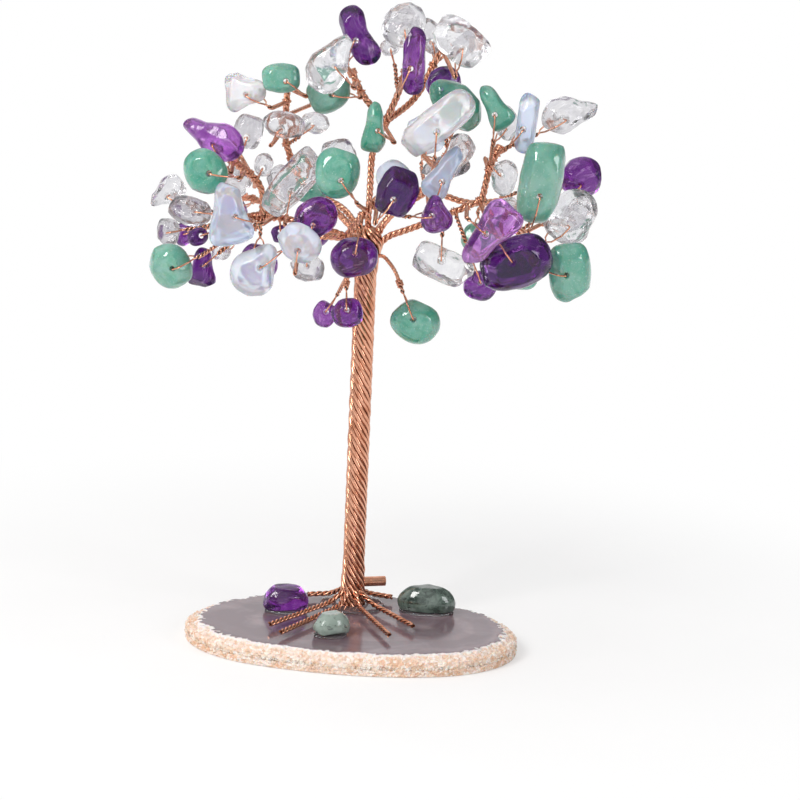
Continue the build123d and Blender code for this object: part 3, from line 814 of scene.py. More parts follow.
def worn_chip(island, matrix, kind, seed):
    """A chip remeshed from its CAD solid, with worn flats and lumps that only cut into it."""
    flats, strength, lump_share = WEAR[kind]
    facet_share = bpy.context.scene.gem_tree_stones.facet_share
    chip = remeshed(island, STONE_VOXEL)
    bmesh.ops.transform(chip, matrix=matrix.inverted(), verts=chip.verts)
    size = max(vertex.co.length for vertex in chip.verts)
    noise.seed_set(seed + 1)
    ways = [noise.random_unit_vector() for flat in range(flats)]
    depths = [facet_share * (0.5 + noise.random()) for flat in range(flats)]
    shift = noise.random_unit_vector() * CHIP_APART
    for way, depth in zip(ways, depths):
        way = Vector((way.x, way.y, way.z * FLAT_TILT)).normalized()
        limit = max(vertex.co.dot(way) for vertex in chip.verts) * (1 - depth)
        for vertex in chip.verts:
            over = vertex.co.dot(way) - limit
            if over > 0:
                vertex.co -= way * over * strength
    chip.normal_update()
    places = []
    for vertex in chip.verts:
        spot = vertex.co / size
        wide = noise.noise(spot * WIDE_LUMPS + shift)
        lump = wide + FINE_LUMP_SHARE * noise.noise(spot * FINE_LUMPS + shift)
        places.append(vertex.co - vertex.normal * size * lump_share * max(0.0, LUMP_LEVEL + lump))
    for vertex, place in zip(chip.verts, places):
        vertex.co = place
    smooth_out(chip, CHIP_SMOOTH_TURNS)
    return chip, shift, size


def chips_mesh(name, chips):
    """One mesh of several chips. Each comes with its matrix, its kind, its tint and its seed."""
    whole = bmesh.new()
    whole.verts.layers.float_color.new("tint")
    whole.verts.layers.float_vector.new("place")
    for island, matrix, kind, colour, seed in chips:
        chip, shift, size = worn_chip(island, matrix, kind, seed)
        tint = chip.verts.layers.float_color.new("tint")
        place = chip.verts.layers.float_vector.new("place")
        for vertex in chip.verts:
            vertex[tint] = (*colour, 1.0)
            vertex[place] = vertex.co / size + shift
        bmesh.ops.transform(chip, matrix=matrix, verts=chip.verts)
        take_in(whole, chip)
    return to_mesh(name, whole)


# Node helpers

def feed(tree, socket, value):
    """Links a socket from another one, or sets its value."""
    if isinstance(value, bpy.types.NodeSocket):
        tree.links.new(value, socket)
    else:
        socket.default_value = value


def set_inputs(tree, node, **inputs):
    """Feeds a node's inputs by name. Each is a value, or the socket that it is linked from."""
    for key, value in inputs.items():
        feed(tree, node.inputs[key.replace("_", " ")], value)


def put(tree, kind, settings=None, **inputs):
    """Adds a node with its settings and inputs."""
    node = tree.nodes.new(kind)
    for key, value in (settings or {}).items():
        setattr(node, key, value)
    set_inputs(tree, node, **inputs)
    return node


def mixed(tree, factor, first, second, blend="MIX"):
    """The colour between two colours, by a factor."""
    node = put(tree, "ShaderNodeMix", {"data_type": "RGBA", "blend_type": blend})
    feed(tree, node.inputs[0], factor)
    for number, colour in ((6, first), (7, second)):
        linked = isinstance(colour, bpy.types.NodeSocket)
        feed(tree, node.inputs[number], colour if linked else (*colour[:3], 1.0))
    return node.outputs[2]


def ranged(tree, value, low, high, to_low=0.0, to_high=1.0):
    """A value brought from one range to another, kept inside it."""
    inputs = {"Value": value, "From_Min": low, "From_Max": high, "To_Min": to_low, "To_Max": to_high}
    return put(tree, "ShaderNodeMapRange", {"interpolation_type": "SMOOTHSTEP"}, **inputs).outputs[0]


def maths(tree, operation, first, second=0.0):
    node = put(tree, "ShaderNodeMath", {"operation": operation})
    feed(tree, node.inputs[0], first)
    feed(tree, node.inputs[1], second)
    return node.outputs[0]


def noisy(tree, place, scale, detail, roughness=0.5, distortion=0.0):
    """The value of a noise at a place."""
    inputs = {"Scale": scale, "Detail": detail, "Roughness": roughness, "Distortion": distortion}
    return put(tree, "ShaderNodeTexNoise", Vector=place, **inputs).outputs[0]


def put_group(tree, group, **inputs):
    """Adds a node group, and gives its outputs."""
    return put(tree, "ShaderNodeGroup", {"node_tree": group}, **inputs).outputs


def attribute(tree, name):
    return put(tree, "ShaderNodeAttribute", {"attribute_name": name, "attribute_type": "GEOMETRY"})


def object_place(tree):
    return put(tree, "ShaderNodeTexCoord").outputs["Object"]


def add_bump(tree, shader, strength, distance, height):
    bump = put(tree, "ShaderNodeBump", Strength=strength, Distance=distance, Height=height)
    set_inputs(tree, shader, Normal=bump.outputs[0])


def new_group(name, inputs, outputs):
    """An empty shader node group with named sockets, and its in and out nodes."""
    group = bpy.data.node_groups.new(name, "ShaderNodeTree")
    for socket_name, kind in inputs:
        group.interface.new_socket(socket_name, in_out="INPUT", socket_type=kind)
    for socket_name, kind in outputs:
        group.interface.new_socket(socket_name, in_out="OUTPUT", socket_type=kind)
    return group, group.nodes.new("NodeGroupInput"), group.nodes.new("NodeGroupOutput")


def clouds_group():
    """Clouds, veils and specks inside a stone."""
    found = bpy.data.node_groups.get("stone clouds")
    if found:
        return found
    inputs = [("Place", "NodeSocketVector"), ("Scale", "NodeSocketFloat"), ("Stretch", "NodeSocketFloat")]
    outputs = [("Cloud", "NodeSocketFloat"), ("Veil", "NodeSocketFloat"), ("Speck", "NodeSocketFloat")]
    group, into, out = new_group("stone clouds", inputs, outputs)
    place = into.outputs["Place"]
    scale = into.outputs["Scale"]
    stretch = put(group, "ShaderNodeCombineXYZ", X=into.outputs["Stretch"], Y=1.0, Z=1.0)
    drawn = put(group, "ShaderNodeVectorMath", {"operation": "MULTIPLY"})
    feed(group, drawn.inputs[0], place)
    feed(group, drawn.inputs[1], stretch.outputs[0])
    wide = noisy(group, place, scale, 5.0, 0.6, 0.7)
    veil = noisy(group, drawn.outputs[0], maths(group, "MULTIPLY", scale, 1.6), 3.0, 0.5, 2.2)
    speck = noisy(group, place, maths(group, "MULTIPLY", scale, 14.0), 2.0)
    set_inputs(
        group, out, Cloud=ranged(group, wide, 0.36, 0.66), Veil=ranged(group, veil, 0.56, 0.68),
        Speck=ranged(group, speck, 0.62, 0.72),
    )
    return group


def scuffs_group():
    """Fine handling marks: a roughness and a height."""
    found = bpy.data.node_groups.get("polish marks")
    if found:
        return found
    inputs = [("Place", "NodeSocketVector"), ("Smooth", "NodeSocketFloat"), ("Rough", "NodeSocketFloat")]
    outputs = [("Roughness", "NodeSocketFloat"), ("Height", "NodeSocketFloat")]
    group, into, out = new_group("polish marks", inputs, outputs)
    place = into.outputs["Place"]
    dull = ranged(group, noisy(group, place, 2.6, 6.0, 0.65), 0.5, 0.72)
    span = maths(group, "SUBTRACT", into.outputs["Rough"], into.outputs["Smooth"])
    roughness = maths(group, "ADD", maths(group, "MULTIPLY", dull, span), into.outputs["Smooth"])
    set_inputs(group, out, Roughness=roughness, Height=noisy(group, place, 9.0, 3.0, 0.6))
    return group


# Finishes

def new_material(name):
    material = bpy.data.materials.new(name)
    material.use_nodes = True
    tree = material.node_tree
    tree.nodes.clear()
    shader = put(tree, "ShaderNodeBsdfPrincipled")
    put(tree, "ShaderNodeOutputMaterial", Surface=shader.outputs[0])
    return material, tree, shader


def stone_ground(name, cloud_scale, stretch, smooth, rough, height):
    """A stone's material with its tint, clouds, polish and bump, ready for its own colours."""
    material, tree, shader = new_material(name)
    tint = attribute(tree, "tint").outputs["Color"]
    place = attribute(tree, "place").outputs["Vector"]
    clouds = put_group(tree, clouds_group(), Place=place, Scale=cloud_scale, Stretch=stretch)
    scuffs = put_group(tree, scuffs_group(), Place=place, Smooth=smooth, Rough=rough)
    set_inputs(tree, shader, Roughness=scuffs["Roughness"])
    add_bump(tree, shader, height, POLISH_DEPTH, scuffs["Height"])
    return material, tree, shader, tint, clouds


def amethyst_material():
    material, tree, shader, tint, clouds = stone_ground("amethyst", 1.5, 0.35, 0.03, 0.12, 0.25)
    deeper = mixed(tree, 1.0, tint, (0.52, 0.30, 0.60), "MULTIPLY")
    zoned = mixed(tree, clouds["Cloud"], deeper, tint)
    paler = mixed(tree, 0.38, tint, (0.92, 0.74, 0.96))
    veiled = mixed(tree, clouds["Veil"], zoned, paler)
    set_inputs(
        tree, shader, Base_Color=veiled, IOR=1.54, Transmission_Weight=0.86, Subsurface_Weight=0.1,
        Subsurface_Scale=AMETHYST_GLOW,
    )
    return material


def aventurine_material():
    material, tree, shader, tint, clouds = stone_ground("aventurine", 1.3, 0.6, 0.05, 0.14, 0.2)
    paler = mixed(tree, 0.28, tint, (0.60, 0.82, 0.74))
    clouded = mixed(tree, clouds["Cloud"], tint, paler)
    deeper = mixed(tree, 1.0, clouded, (0.55, 0.75, 0.66), "MULTIPLY")
    veiled = mixed(tree, maths(tree, "MULTIPLY", clouds["Veil"], 0.5), clouded, deeper)
    specked = mixed(tree, maths(tree, "MULTIPLY", clouds["Speck"], 0.35), veiled, (0.80, 0.90, 0.84))
    set_inputs(
        tree, shader, Base_Color=specked, IOR=1.54, Transmission_Weight=0.34, Subsurface_Weight=0.6,
        Subsurface_Scale=AVENTURINE_GLOW, Coat_Weight=0.9, Coat_Roughness=0.04, Coat_IOR=1.5,
    )
    return material


def quartz_material():
    material, tree, shader, tint, clouds = stone_ground("clear quartz", 1.6, 0.4, 0.0, 0.10, 0.6)
    grey = mixed(tree, 1.0, tint, (0.80, 0.80, 0.83), "MULTIPLY")
    clouded = mixed(tree, clouds["Cloud"], tint, grey)
    veiled = mixed(tree, clouds["Veil"], clouded, (0.88, 0.87, 0.89))
    set_inputs(tree, shader, Base_Color=veiled, IOR=1.52, Transmission_Weight=0.97)
    return material


def opalite_material():
    material, tree, shader, tint, clouds = stone_ground("opalite", 0.9, 0.7, 0.05, 0.16, 0.2)
    warm = mixed(tree, 0.40, tint, (1.0, 0.88, 0.76))
    glow = mixed(tree, maths(tree, "MULTIPLY", clouds["Cloud"], 0.55), tint, warm)
    milky = mixed(tree, clouds["Veil"], glow, (0.92, 0.94, 0.98))
    set_inputs(
        tree, shader, Base_Color=milky, IOR=1.48, Transmission_Weight=0.70, Subsurface_Weight=0.5,
        Subsurface_Scale=OPALITE_GLOW, Coat_Weight=0.4, Coat_Roughness=0.03,
    )
    return material


def moss_material():
    material, tree, shader, tint, clouds = stone_ground("moss stone", 2.2, 0.5, 0.04, 0.14, 0.3)
    paler = mixed(tree, 0.5, tint, (0.34, 0.44, 0.38))
    clouded = mixed(tree, clouds["Cloud"], tint, paler)
    veiled = mixed(tree, maths(tree, "MULTIPLY", clouds["Veil"], 0.7), clouded, (0.015, 0.022, 0.02))
    set_inputs(
        tree, shader, Base_Color=veiled, IOR=1.54, Transmission_Weight=0.3, Coat_Weight=0.6,
        Coat_Roughness=0.03,
    )
    return material


def copper_material(name, has_groove_shade):
    """Bright copper wire, painted darker between the strands as shade, with faint tarnish along it."""
    settings = bpy.context.scene.gem_tree_wire
    material, tree, shader = new_material(name)
    place = object_place(tree)
    tarnish = noisy(tree, place, 420.0, 4.0, 0.6)
    colour = mixed(tree, ranged(tree, tarnish, 0.42, 0.70), settings.copper, (0.62, 0.26, 0.15))
    if has_groove_shade:
        # Painted shade: deeper in its bundle the copper is darkened towards the groove colour, where shade
        # falls between strands; it is also rougher there.
        depth = attribute(tree, "groove_shade").outputs["Fac"]
        colour = mixed(tree, ranged(tree, depth, 0.10, 0.42), colour, settings.groove_shade)
        roughness = ranged(tree, depth, 0.10, 0.55, 0.11, 0.45)
    else:
        roughness = ranged(tree, tarnish, 0.3, 0.7, 0.18, 0.34)
    set_inputs(tree, shader, Base_Color=colour, Metallic=1.0, Roughness=roughness)
    add_bump(tree, shader, 0.05, SCRATCH_DEPTH, noisy(tree, place, 2600.0, 2.0))
    return material


def agate_material():
    """Polished agate with faint bands, and a rough sandy rind where the slice's edge is."""
    settings = bpy.context.scene.gem_tree_base
    material, tree, shader = new_material("agate slice")
    place = object_place(tree)
    rind = attribute(tree, "rind").outputs["Fac"]
    edge = attribute(tree, "edge").outputs["Fac"]
    bend = maths(tree, "MULTIPLY", noisy(tree, place, 70.0, 3.0), 9.0)
    banding = maths(tree, "ADD", maths(tree, "MULTIPLY", edge, 900.0), bend)
    rings = ranged(tree, maths(tree, "SINE", banding), -0.2, 1.0)
    fog = noisy(tree, place, 110.0, 5.0, 0.6, 0.8)
    band = maths(tree, "MULTIPLY", rings, ranged(tree, fog, 0.35, 0.7, 0.1, 0.75))
    polished = mixed(tree, band, settings.agate, settings.band)
    milky = mixed(tree, ranged(tree, fog, 0.5, 0.75, 0.0, 0.35), polished, (0.33, 0.27, 0.30))
    patches = noisy(tree, place, 240.0, 4.0, 0.65)
    sandy = mixed(tree, ranged(tree, patches, 0.36, 0.66), settings.rind, settings.rind_pale)
    grains = put(tree, "ShaderNodeTexVoronoi", Vector=place, Scale=2200.0)
    shade = put(tree, "ShaderNodeSeparateColor", Color=grains.outputs["Color"]).outputs[0]
    paler = mixed(tree, ranged(tree, shade, 0.45, 1.0, 0.0, 0.7), sandy, (0.92, 0.86, 0.82))
    grainy = mixed(tree, ranged(tree, shade, 0.30, 0.0, 0.0, 0.5), paler, (0.60, 0.34, 0.20))
    dirt = ranged(tree, noisy(tree, place, 900.0, 3.0), 0.62, 0.74, 0.0, 0.35)
    dirty = mixed(tree, dirt, grainy, (0.40, 0.25, 0.17))
    inner = ranged(tree, rind, 0.05, 0.75)
    line = maths(tree, "MULTIPLY", ranged(tree, rind, 0.0, 0.3), ranged(tree, rind, 0.98, 0.4))
    frost = maths(tree, "MULTIPLY", line, 0.8)
    frosted = mixed(tree, frost, mixed(tree, inner, milky, dirty), (0.90, 0.86, 0.85))
    set_inputs(
        tree, shader, Base_Color=frosted, IOR=1.45, Roughness=ranged(tree, rind, 0.1, 0.6, 0.17, 0.85),
        Coat_Weight=ranged(tree, rind, 0.1, 0.5, 0.2, 0.0), Coat_Roughness=0.06, Subsurface_Weight=0.15,
        Subsurface_Scale=AGATE_GLOW,
    )
    add_bump(tree, shader, 0.5, GRAIN_DEPTH, maths(tree, "MULTIPLY", grains.outputs["Distance"], inner))
    return material


def glue_material():
    material, tree, shader = new_material("clear glue")
    place = object_place(tree)
    spread = put(tree, "ShaderNodeVectorMath", {"operation": "SCALE"}, Vector=place, Scale=300.0)
    scuffs = put_group(tree, scuffs_group(), Place=spread.outputs[0], Smooth=0.02, Rough=0.12)
    cloud = ranged(tree, noisy(tree, place, 500.0, 3.0), 0.4, 0.7)
    colour = mixed(tree, cloud, (0.97, 0.95, 0.96), (0.88, 0.85, 0.88))
    set_inputs(
        tree, shader, Base_Color=colour, Roughness=scuffs["Roughness"], IOR=1.45, Transmission_Weight=0.95
    )
    return material


MATERIAL_MAKERS = {
    "amethyst": amethyst_material,
    "aventurine": aventurine_material,
    "quartz": quartz_material,
    "opalite": opalite_material,
    "moss": moss_material,
    "twisted copper": lambda: copper_material("twisted copper", True),
    "copper rod": lambda: copper_material("copper rod", False),
    "agate": agate_material,
    "glue": glue_material,
}
made_materials = {}


def finish_of(name):
    if name not in made_materials:
        made_materials[name] = MATERIAL_MAKERS[name]()
    return made_materials[name]


# The branches

class Hung(NamedTuple):
    """A stone on its stem: its row, solid and place, its wire loop, its twig and its anchor's share."""

    stone: Stone
    island: object
    matrix: Matrix
    loop: list
    twig: list
    share: float


def branch_paths(branch):
    """The stems' paths. The first starts at its hinge, just off the collar."""
    paths = []
    for number, stem in enumerate(branch.stems):
        points = [crown_point(*place) for place in stem]
        if number == 0:
            middle = COLLAR - Vector((0, 0, branch.drop))
            way = (points[0] - middle).normalized()
            ball_reach = branch.diameter * KNOT_SHARE / 2 + HINGE_CLEARANCE
            points.insert(0, middle + way * (COLLAR_RADIUS + ball_reach))
        paths.append(rounded_path(points))
    return paths


def hang_stone(stone, island, path, diameter, share):
    """The loop and twig of a stone, from the side of the stone that faces its place on the stem."""
    matrix = stone_matrix(stone)
    centre = matrix.translation
    anchor, stem_way = path_at(path, share)
    local = matrix.inverted() @ anchor
    way = (matrix.to_3x3() @ Vector((local.x, local.y, 0))).normalized()
    out = matrix.to_3x3() @ Vector((0, 0, 1))
    skin = bvhtree.BVHTree.FromBMesh(island)
    far = centre + way * CROWN_HALF_DEPTH
    rim = (skin.ray_cast(far, -way)[0] - centre).length
    thickness = max(abs((vertex.co - centre).dot(out)) for vertex in island.verts)
    side = thickness + WIRE_CLEARANCE + WIRE_DIAMETER / 2
    nose = rim + WIRE_CLEARANCE + WIRE_DIAMETER / 2
    start = nose + TWIST_LENGTH
    half_loop = [
        (start, LEG_OFFSET),
        (start - TWIST_LENGTH / 2, LEG_OFFSET),
        (nose, side * LOOP_SLOPE_SHARE),
        (rim * LOOP_SHOULDER_SHARE, side),
        (rim * HOLE_PLACE_SHARE, side),
    ]
    mirrored = [(reach, -height) for reach, height in reversed(half_loop)]
    corners = [centre + way * reach + out * height for reach, height in half_loop + mirrored]
    twig_start = centre + way * start
    twig_bend = twig_start + way * TWIG_LEAD
    reach = twig_bend - anchor
    beside = (reach - stem_way * reach.dot(stem_way)).normalized()
    twig_end = anchor + beside * (diameter * TWIG_END_SHARE)
    twig = rounded_path([twig_start, twig_bend, twig_end], bend_share=TWIG_BEND_SHARE)
    return Hung(stone, island, matrix, rounded_path(corners, LOOP_BEND), twig, share)


def stone_node(name, stone):
    """The CAD node of a stone: its own if it is loose, or else the one of its branch and kind."""
    return stone.loose_name or f"{name}_{stone.kind}"


def hung_stones(name, branch, paths):
    """Every stone of a branch, with the CAD solid that is nearest to its place."""
    nodes = dict.fromkeys(stone_node(name, stone) for stone in branch.stones)
    solids = {node: node_islands(node) for node in nodes}
    span = LAST_TWIG_SHARE - FIRST_TWIG_SHARE
    hung = []
    for number, path in enumerate(paths):
        stones = [stone for stone in branch.stones if stone.stem == number]
        for order, stone in enumerate(stones):
            left = solids[stone_node(name, stone)]
            place = crown_point(*stone.spot_px, stone.back_share)
            island = min(left, key=lambda each: (island_middle(each) - place).length)
            left.remove(island)
            share = FIRST_TWIG_SHARE + span * (order + 1) / len(stones)
            hung.append(hang_stone(stone, island, path, branch.diameter, share))
    return hung


HUNG = {}


def branch_hung(name):
    if name not in HUNG:
        branch = BRANCHES[name]
        HUNG[name] = hung_stones(name, branch, branch_paths(branch))
    return HUNG[name]


def strand_radius(diameter, strands, full_share):
    """The radius of strands that lie in a ring, pressed a little into each other."""
    return diameter / 2 * sin(pi / strands) / (1 + sin(pi / strands)) * full_share


def stem_lines(path, diameter, settings):
    """The strands of one stem: the wires wound round it, and a middle wire."""
    strands = settings.stem_strands
    radius = strand_radius(diameter, strands, STEM_FULL_SHARE)
    ring = diameter / 2 - radius
    lay = settings.stem_lay * diameter / STEM_DIAMETER
    wound = twisted(path, STRAND_STEP * STEM_STEP_SHARE, strands, ring, lay)
    lines = [(line, radius) for line in wound]
    lines.append((even_path(path, STRAND_STEP), ring * STEM_CORE_SHARE))
    return lines


class GEMTREE_OT_branches(bpy.types.Operator):
    """Builds the stems, twigs and loops of every branch from twisted wire"""

    bl_idname = "gemtree.branches"
    bl_label = "Branches"

    def execute(self, context):
        settings = context.scene.gem_tree_wire
        wire_radius = WIRE_DIAMETER / 2
        loop_radius = wire_radius * LOOP_SHOWN_SHARE
        for name, branch in BRANCHES.items():
            paths = branch_paths(branch)
            lines = []
            bundles = []
            single = []
            shown = branch.diameter * STEM_SHOWN_SHARE
            wrap_ring = shown / 2 + wire_radius * WRAP_SINK_SHARE
            for path in paths:
                lines += stem_lines(path, shown, settings)
                bundles.append((path, shown / 2))
                binding = coiled(path, BINDING_SHARE, BINDING_TURNS, wrap_ring, WIRE_DIAMETER)
                single.append((binding, wire_radius))
            for hung in branch_hung(name):
                out = hung.matrix.to_3x3() @ Vector((0, 0, 1))
                pair = twisted(hung.twig, TWIG_STEP, 2, LEG_OFFSET, settings.twig_lay, out)
                lines += [(line, wire_radius) for line in pair]
                bundles.append((hung.twig, LEG_OFFSET + wire_radius))
                single.append((even_path(hung.loop, TWIG_STEP * LOOP_STEP_SHARE), loop_radius))
                wrap_share = min(LAST_TWIG_SHARE, hung.share)
                wrap = coiled(paths[hung.stone.stem], wrap_share, WRAP_TURNS, wrap_ring, WIRE_DIAMETER)
                single.append((wrap, loop_radius))
            piece = wire_piece(f"{name}_copper", lines + single, bundles)
            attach(piece, f"{name}_branch")
            nodes = (f"{name}_wires", f"{name}_stems")
            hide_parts(*[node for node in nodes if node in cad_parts])
        return {"FINISHED"}


class GEMTREE_OT_forks(bpy.types.Operator):
    """Builds the strands that leave the collar and run into each branch"""

    bl_idname = "gemtree.forks"
    bl_label = "Forks at the collar"

    def execute(self, context):
        settings = context.scene.gem_tree_wire
        for name, branch in BRANCHES.items():
            start, second = branch_paths(branch)[0][:2]
            way = (second - start).normalized()
            corners = []
            for out, down in (FORK_LOW_SHARES, FORK_HIP_SHARES):
                z = COLLAR.z - branch.drop - COLLAR_RISE * down
                corners.append(Vector((start.x * out, start.y * out, z)))
            low, hip = corners
            path = rounded_path([low, hip, start, start + way * branch.diameter * FORK_END_SHARE])
            shown = branch.diameter * STEM_SHOWN_SHARE
            piece = wire_piece(f"{name}_fork", stem_lines(path, shown, settings), [(path, shown / 2)])
            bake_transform(piece)
        return {"FINISHED"}


class GEMTREE_OT_stones(bpy.types.Operator):
    """Builds the drilled chips of the crown"""

    bl_idname = "gemtree.stones"
    bl_label = "Stones"

    def execute(self, context):
        for name in BRANCHES:
            nodes = {}
            for hung in branch_hung(name):
                stone = hung.stone
                node = stone_node(name, stone)
                body = stone.loose_name or f"{name}_branch"
                seed = int(stone.spot_px[0] * 1000 + stone.spot_px[1])
                chip = (hung.island, hung.matrix, stone.kind, stone_tint(stone.kind, stone.depth), seed)
                nodes.setdefault((node, body, stone.kind), []).append(chip)
            for (node, body, kind), chips in nodes.items():
                piece = add_piece(f"{node}_chips", chips_mesh(f"{node}_chips", chips), finish_of(kind))
                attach(piece, body)
                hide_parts(node)
        return {"FINISHED"}


# The trunk and the base

def rope_ring(z):
    """The outer radius of the rope at a height."""
    collar_start = COLLAR.z - COLLAR_RISE
    if z < BASE_TOP + FOOT_HEIGHT:
        share = (z - BASE_TOP) / FOOT_HEIGHT
        return FOOT_RADIUS + (TRUNK_RADIUS - FOOT_RADIUS) * share
    if z > COLLAR.z:
        return max(0.0, COLLAR_RADIUS**2 - (z - COLLAR.z) ** 2) ** 0.5
    if z > collar_start:
        share = (z - collar_start) / COLLAR_RISE
        return TRUNK_RADIUS + (COLLAR_RADIUS - TRUNK_RADIUS) * share * share
    return TRUNK_RADIUS


def rope_strands(settings, top):
    """The rope's strands, each with its radius. They swell and wander a little."""
    strands = settings.rope_strands
    steps = int((top - BASE_TOP) / STRAND_STEP)
    lines = []
    for strand in range(strands):
        line = []
        for step in range(steps + 1):
            z = BASE_TOP + (top - BASE_TOP) * step / steps
            wander = noise.noise(Vector((strand * WANDER_APART, 0.0, z / MM * WANDERS_PER_MM)))
            swell = 1 + SWELL_SHARE * sin(tau * z / SWELL_LENGTH + tau * strand / strands * SWELLS_ROUND)
            ring = (rope_ring(z) - settings.rope_strand / 2) * swell - WANDER_DEPTH * abs(wander)
            angle = tau * strand / strands - tau * z / settings.rope_lay + WANDER_ANGLE * wander
            line.append(Vector((cos(angle) * ring, sin(angle) * ring, z)))
        lines.append((line, settings.rope_strand / 2 * (1 + UNEVEN_SHARE * sin(strand * UNEVEN_TURN))))
    return lines


def rope_core(settings, top):
    """The rope's middle, turned from its profile. It takes the copper's full painted shade, as a dark fill
    between the strands.
    """
    core = bmesh.new()
    profile = [Vector((0, 0, BASE_TOP))]
    for number in range(ROPE_CORE_RINGS + 1):
        z = BASE_TOP + (top - BASE_TOP) * number / ROPE_CORE_RINGS
        profile.append(Vector((rope_ring(z) - settings.rope_strand * ROPE_CORE_SHARE, 0, z)))
    profile.append(Vector((0, 0, top)))
    corners = [core.verts.new(point) for point in profile]
    edges = [core.edges.new(pair) for pair in zip(corners, corners[1:])]
    bmesh.ops.spin(
        core, geom=corners + edges, cent=(0, 0, 0), axis=(0, 0, 1), dvec=(0, 0, 0), angle=tau,
        steps=ROPE_CORE_SIDES, use_merge=True, use_duplicate=False,
    )
    bmesh.ops.remove_doubles(core, verts=core.verts, dist=MERGE_REACH)
    bmesh.ops.recalc_face_normals(core, faces=core.faces)
    return core


class GEMTREE_OT_trunk(bpy.types.Operator):
    """Builds the rope of the trunk, strand by strand, round its core"""

    bl_idname = "gemtree.trunk"
    bl_label = "Trunk"

    def execute(self, context):
        settings = context.scene.gem_tree_wire
        top = COLLAR.z + COLLAR_RADIUS * ROPE_TOP_SHARE
        mesh = tube_mesh("trunk", rope_strands(settings, top))
        whole = rope_core(settings, top)
        whole.from_mesh(mesh)
        whole.to_mesh(mesh)
        whole.free()
        # How deep each point lies inside the rope, for the copper's painted shade between the strands and on
        # the core.
        depths = []
        for vertex in mesh.vertices:
            depth = rope_ring(vertex.co.z) * ROPE_SKIN_SHARE - vertex.co.xy.length
            depths.append(max(0.0, min(1.0, depth / (settings.rope_strand * GROOVE_SHADE_SHARE))))
        write_groove_shade(mesh, depths)
        piece = add_piece("trunk_strands", mesh, finish_of("twisted copper"))
        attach(piece, "base")
        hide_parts("trunk_rope")
        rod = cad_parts["core_rod"].data
        rod.materials.clear()
        rod.materials.append(finish_of("copper rod"))
        return {"FINISHED"}


class GEMTREE_OT_roots(bpy.types.Operator):
    """Builds the splayed roots from twisted wire"""

    bl_idname = "gemtree.roots"
    bl_label = "Roots"

    def execute(self, context):
        leave = FOOT_RADIUS + ROOT_DIAMETER / 2
        shown = ROOT_DIAMETER * ROOT_SHOWN_SHARE
        radius = strand_radius(shown, ROOT_STRANDS, ROOT_FULL_SHARE)
        lines = []
        bundles = []
        for start_angle, tip_px in ROOTS:
            way = Vector((cos(radians(start_angle)), sin(radians(start_angle)), 0))
            inside = way * leave * ROOT_INSIDE_SHARE + Vector((0, 0, ROOT_LEVEL + ROOT_RISE * ROOT_TOP_SHARE))
            high = way * leave + Vector((0, 0, ROOT_LEVEL + ROOT_RISE * ROOT_HIGH_SHARE))
            low = way * (leave + ROOT_SPREAD) + Vector((0, 0, ROOT_LEVEL))
            path = rounded_path([inside, high, low, slab_point(tip_px, ROOT_LEVEL)])
            wound = twisted(path, ROOT_STEP, ROOT_STRANDS, shown / 2 - radius, ROOT_LAY)
            lines += [(line, radius) for line in wound]
            bundles.append((path, shown / 2))
        piece = wire_piece("root_strands", lines, bundles)
        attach(piece, "base")
        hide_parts("root_wires")
        return {"FINISHED"}


class GEMTREE_OT_slice(bpy.types.Operator):
    """Builds the slice of agate with its polished face and its grainy rind"""

    bl_idname = "gemtree.slice"
    bl_label = "Agate slice"

    def execute(self, context):
        settings = context.scene.gem_tree_base
        slab = remeshed(node_islands("agate_slice")[0], SLICE_VOXEL)
        slab.normal_update()
        rim = [vertex for vertex in slab.verts if abs(vertex.normal.z) < RIM_SLOPE]
        tree = kdtree.KDTree(len(rim))
        for number, vertex in enumerate(rim):
            tree.insert((vertex.co.x, vertex.co.y, 0), number)
        tree.balance()
        rind = slab.verts.layers.float.new("rind")
        edge = slab.verts.layers.float.new("edge")
        places = []
        for vertex in slab.verts:
            flat = Vector((vertex.co.x, vertex.co.y, 0))
            inward = tree.find(flat)[2]
            ragged = noise.noise(flat / RAGGED_SIZE) * RAGGED_SHARE
            ragged += noise.noise(flat / NICK_SIZE) * NICK_SHARE
            width = settings.rind_width * (1 + RIND_TIP_SHARE * (flat.x / BASE_HALF_WIDTH) ** 4)
            share = (inward / width - RIND_INNER_SHARE - ragged) / RIND_SOFT_SHARE
            rough = max(0.0, min(1.0, 1.0 - share))
            vertex[rind] = rough
            vertex[edge] = inward
            cells = noise.voronoi(vertex.co / settings.grain)[0]
            grain = min(1.0, cells[0] * GRAIN_FULL_SHARE)
            lump = 0.5 + 0.5 * noise.noise(vertex.co / LUMP_SIZE)
            cut = rough * (grain * GRAIN_CUT + lump * LUMP_CUT)
            fall = RIND_FALL * rough * max(0.0, 1 - inward / width)
            if vertex.co.z < BASE_TOP / 2:
                fall = 0.0
            if vertex.co.z < UNDERSIDE_BAND:
                cut *= 0.0 if vertex.normal.z < UNDERSIDE_SLOPE else UNDERSIDE_CUT_SHARE
            places.append(vertex.co - vertex.normal * cut - Vector((0, 0, fall)))
        for vertex, place in zip(slab.verts, places):
            vertex.co = place
            vertex.co.z = max(0.0, place.z)
        under = [face for face in slab.faces if all(vertex.co.z < UNDERSIDE_REACH for vertex in face.verts)]
        bmesh.ops.delete(slab, geom=under, context="FACES")
        open_edges = [side for side in slab.edges if side.is_boundary]
        filled = bmesh.ops.holes_fill(slab, edges=open_edges)["faces"]
        bmesh.ops.triangulate(slab, faces=filled)
        bmesh.ops.recalc_face_normals(slab, faces=slab.faces)
        piece = add_piece("slice_with_rind", to_mesh("slice", slab), finish_of("agate"))
        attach(piece, "base")
        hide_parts("agate_slice")
        return {"FINISHED"}


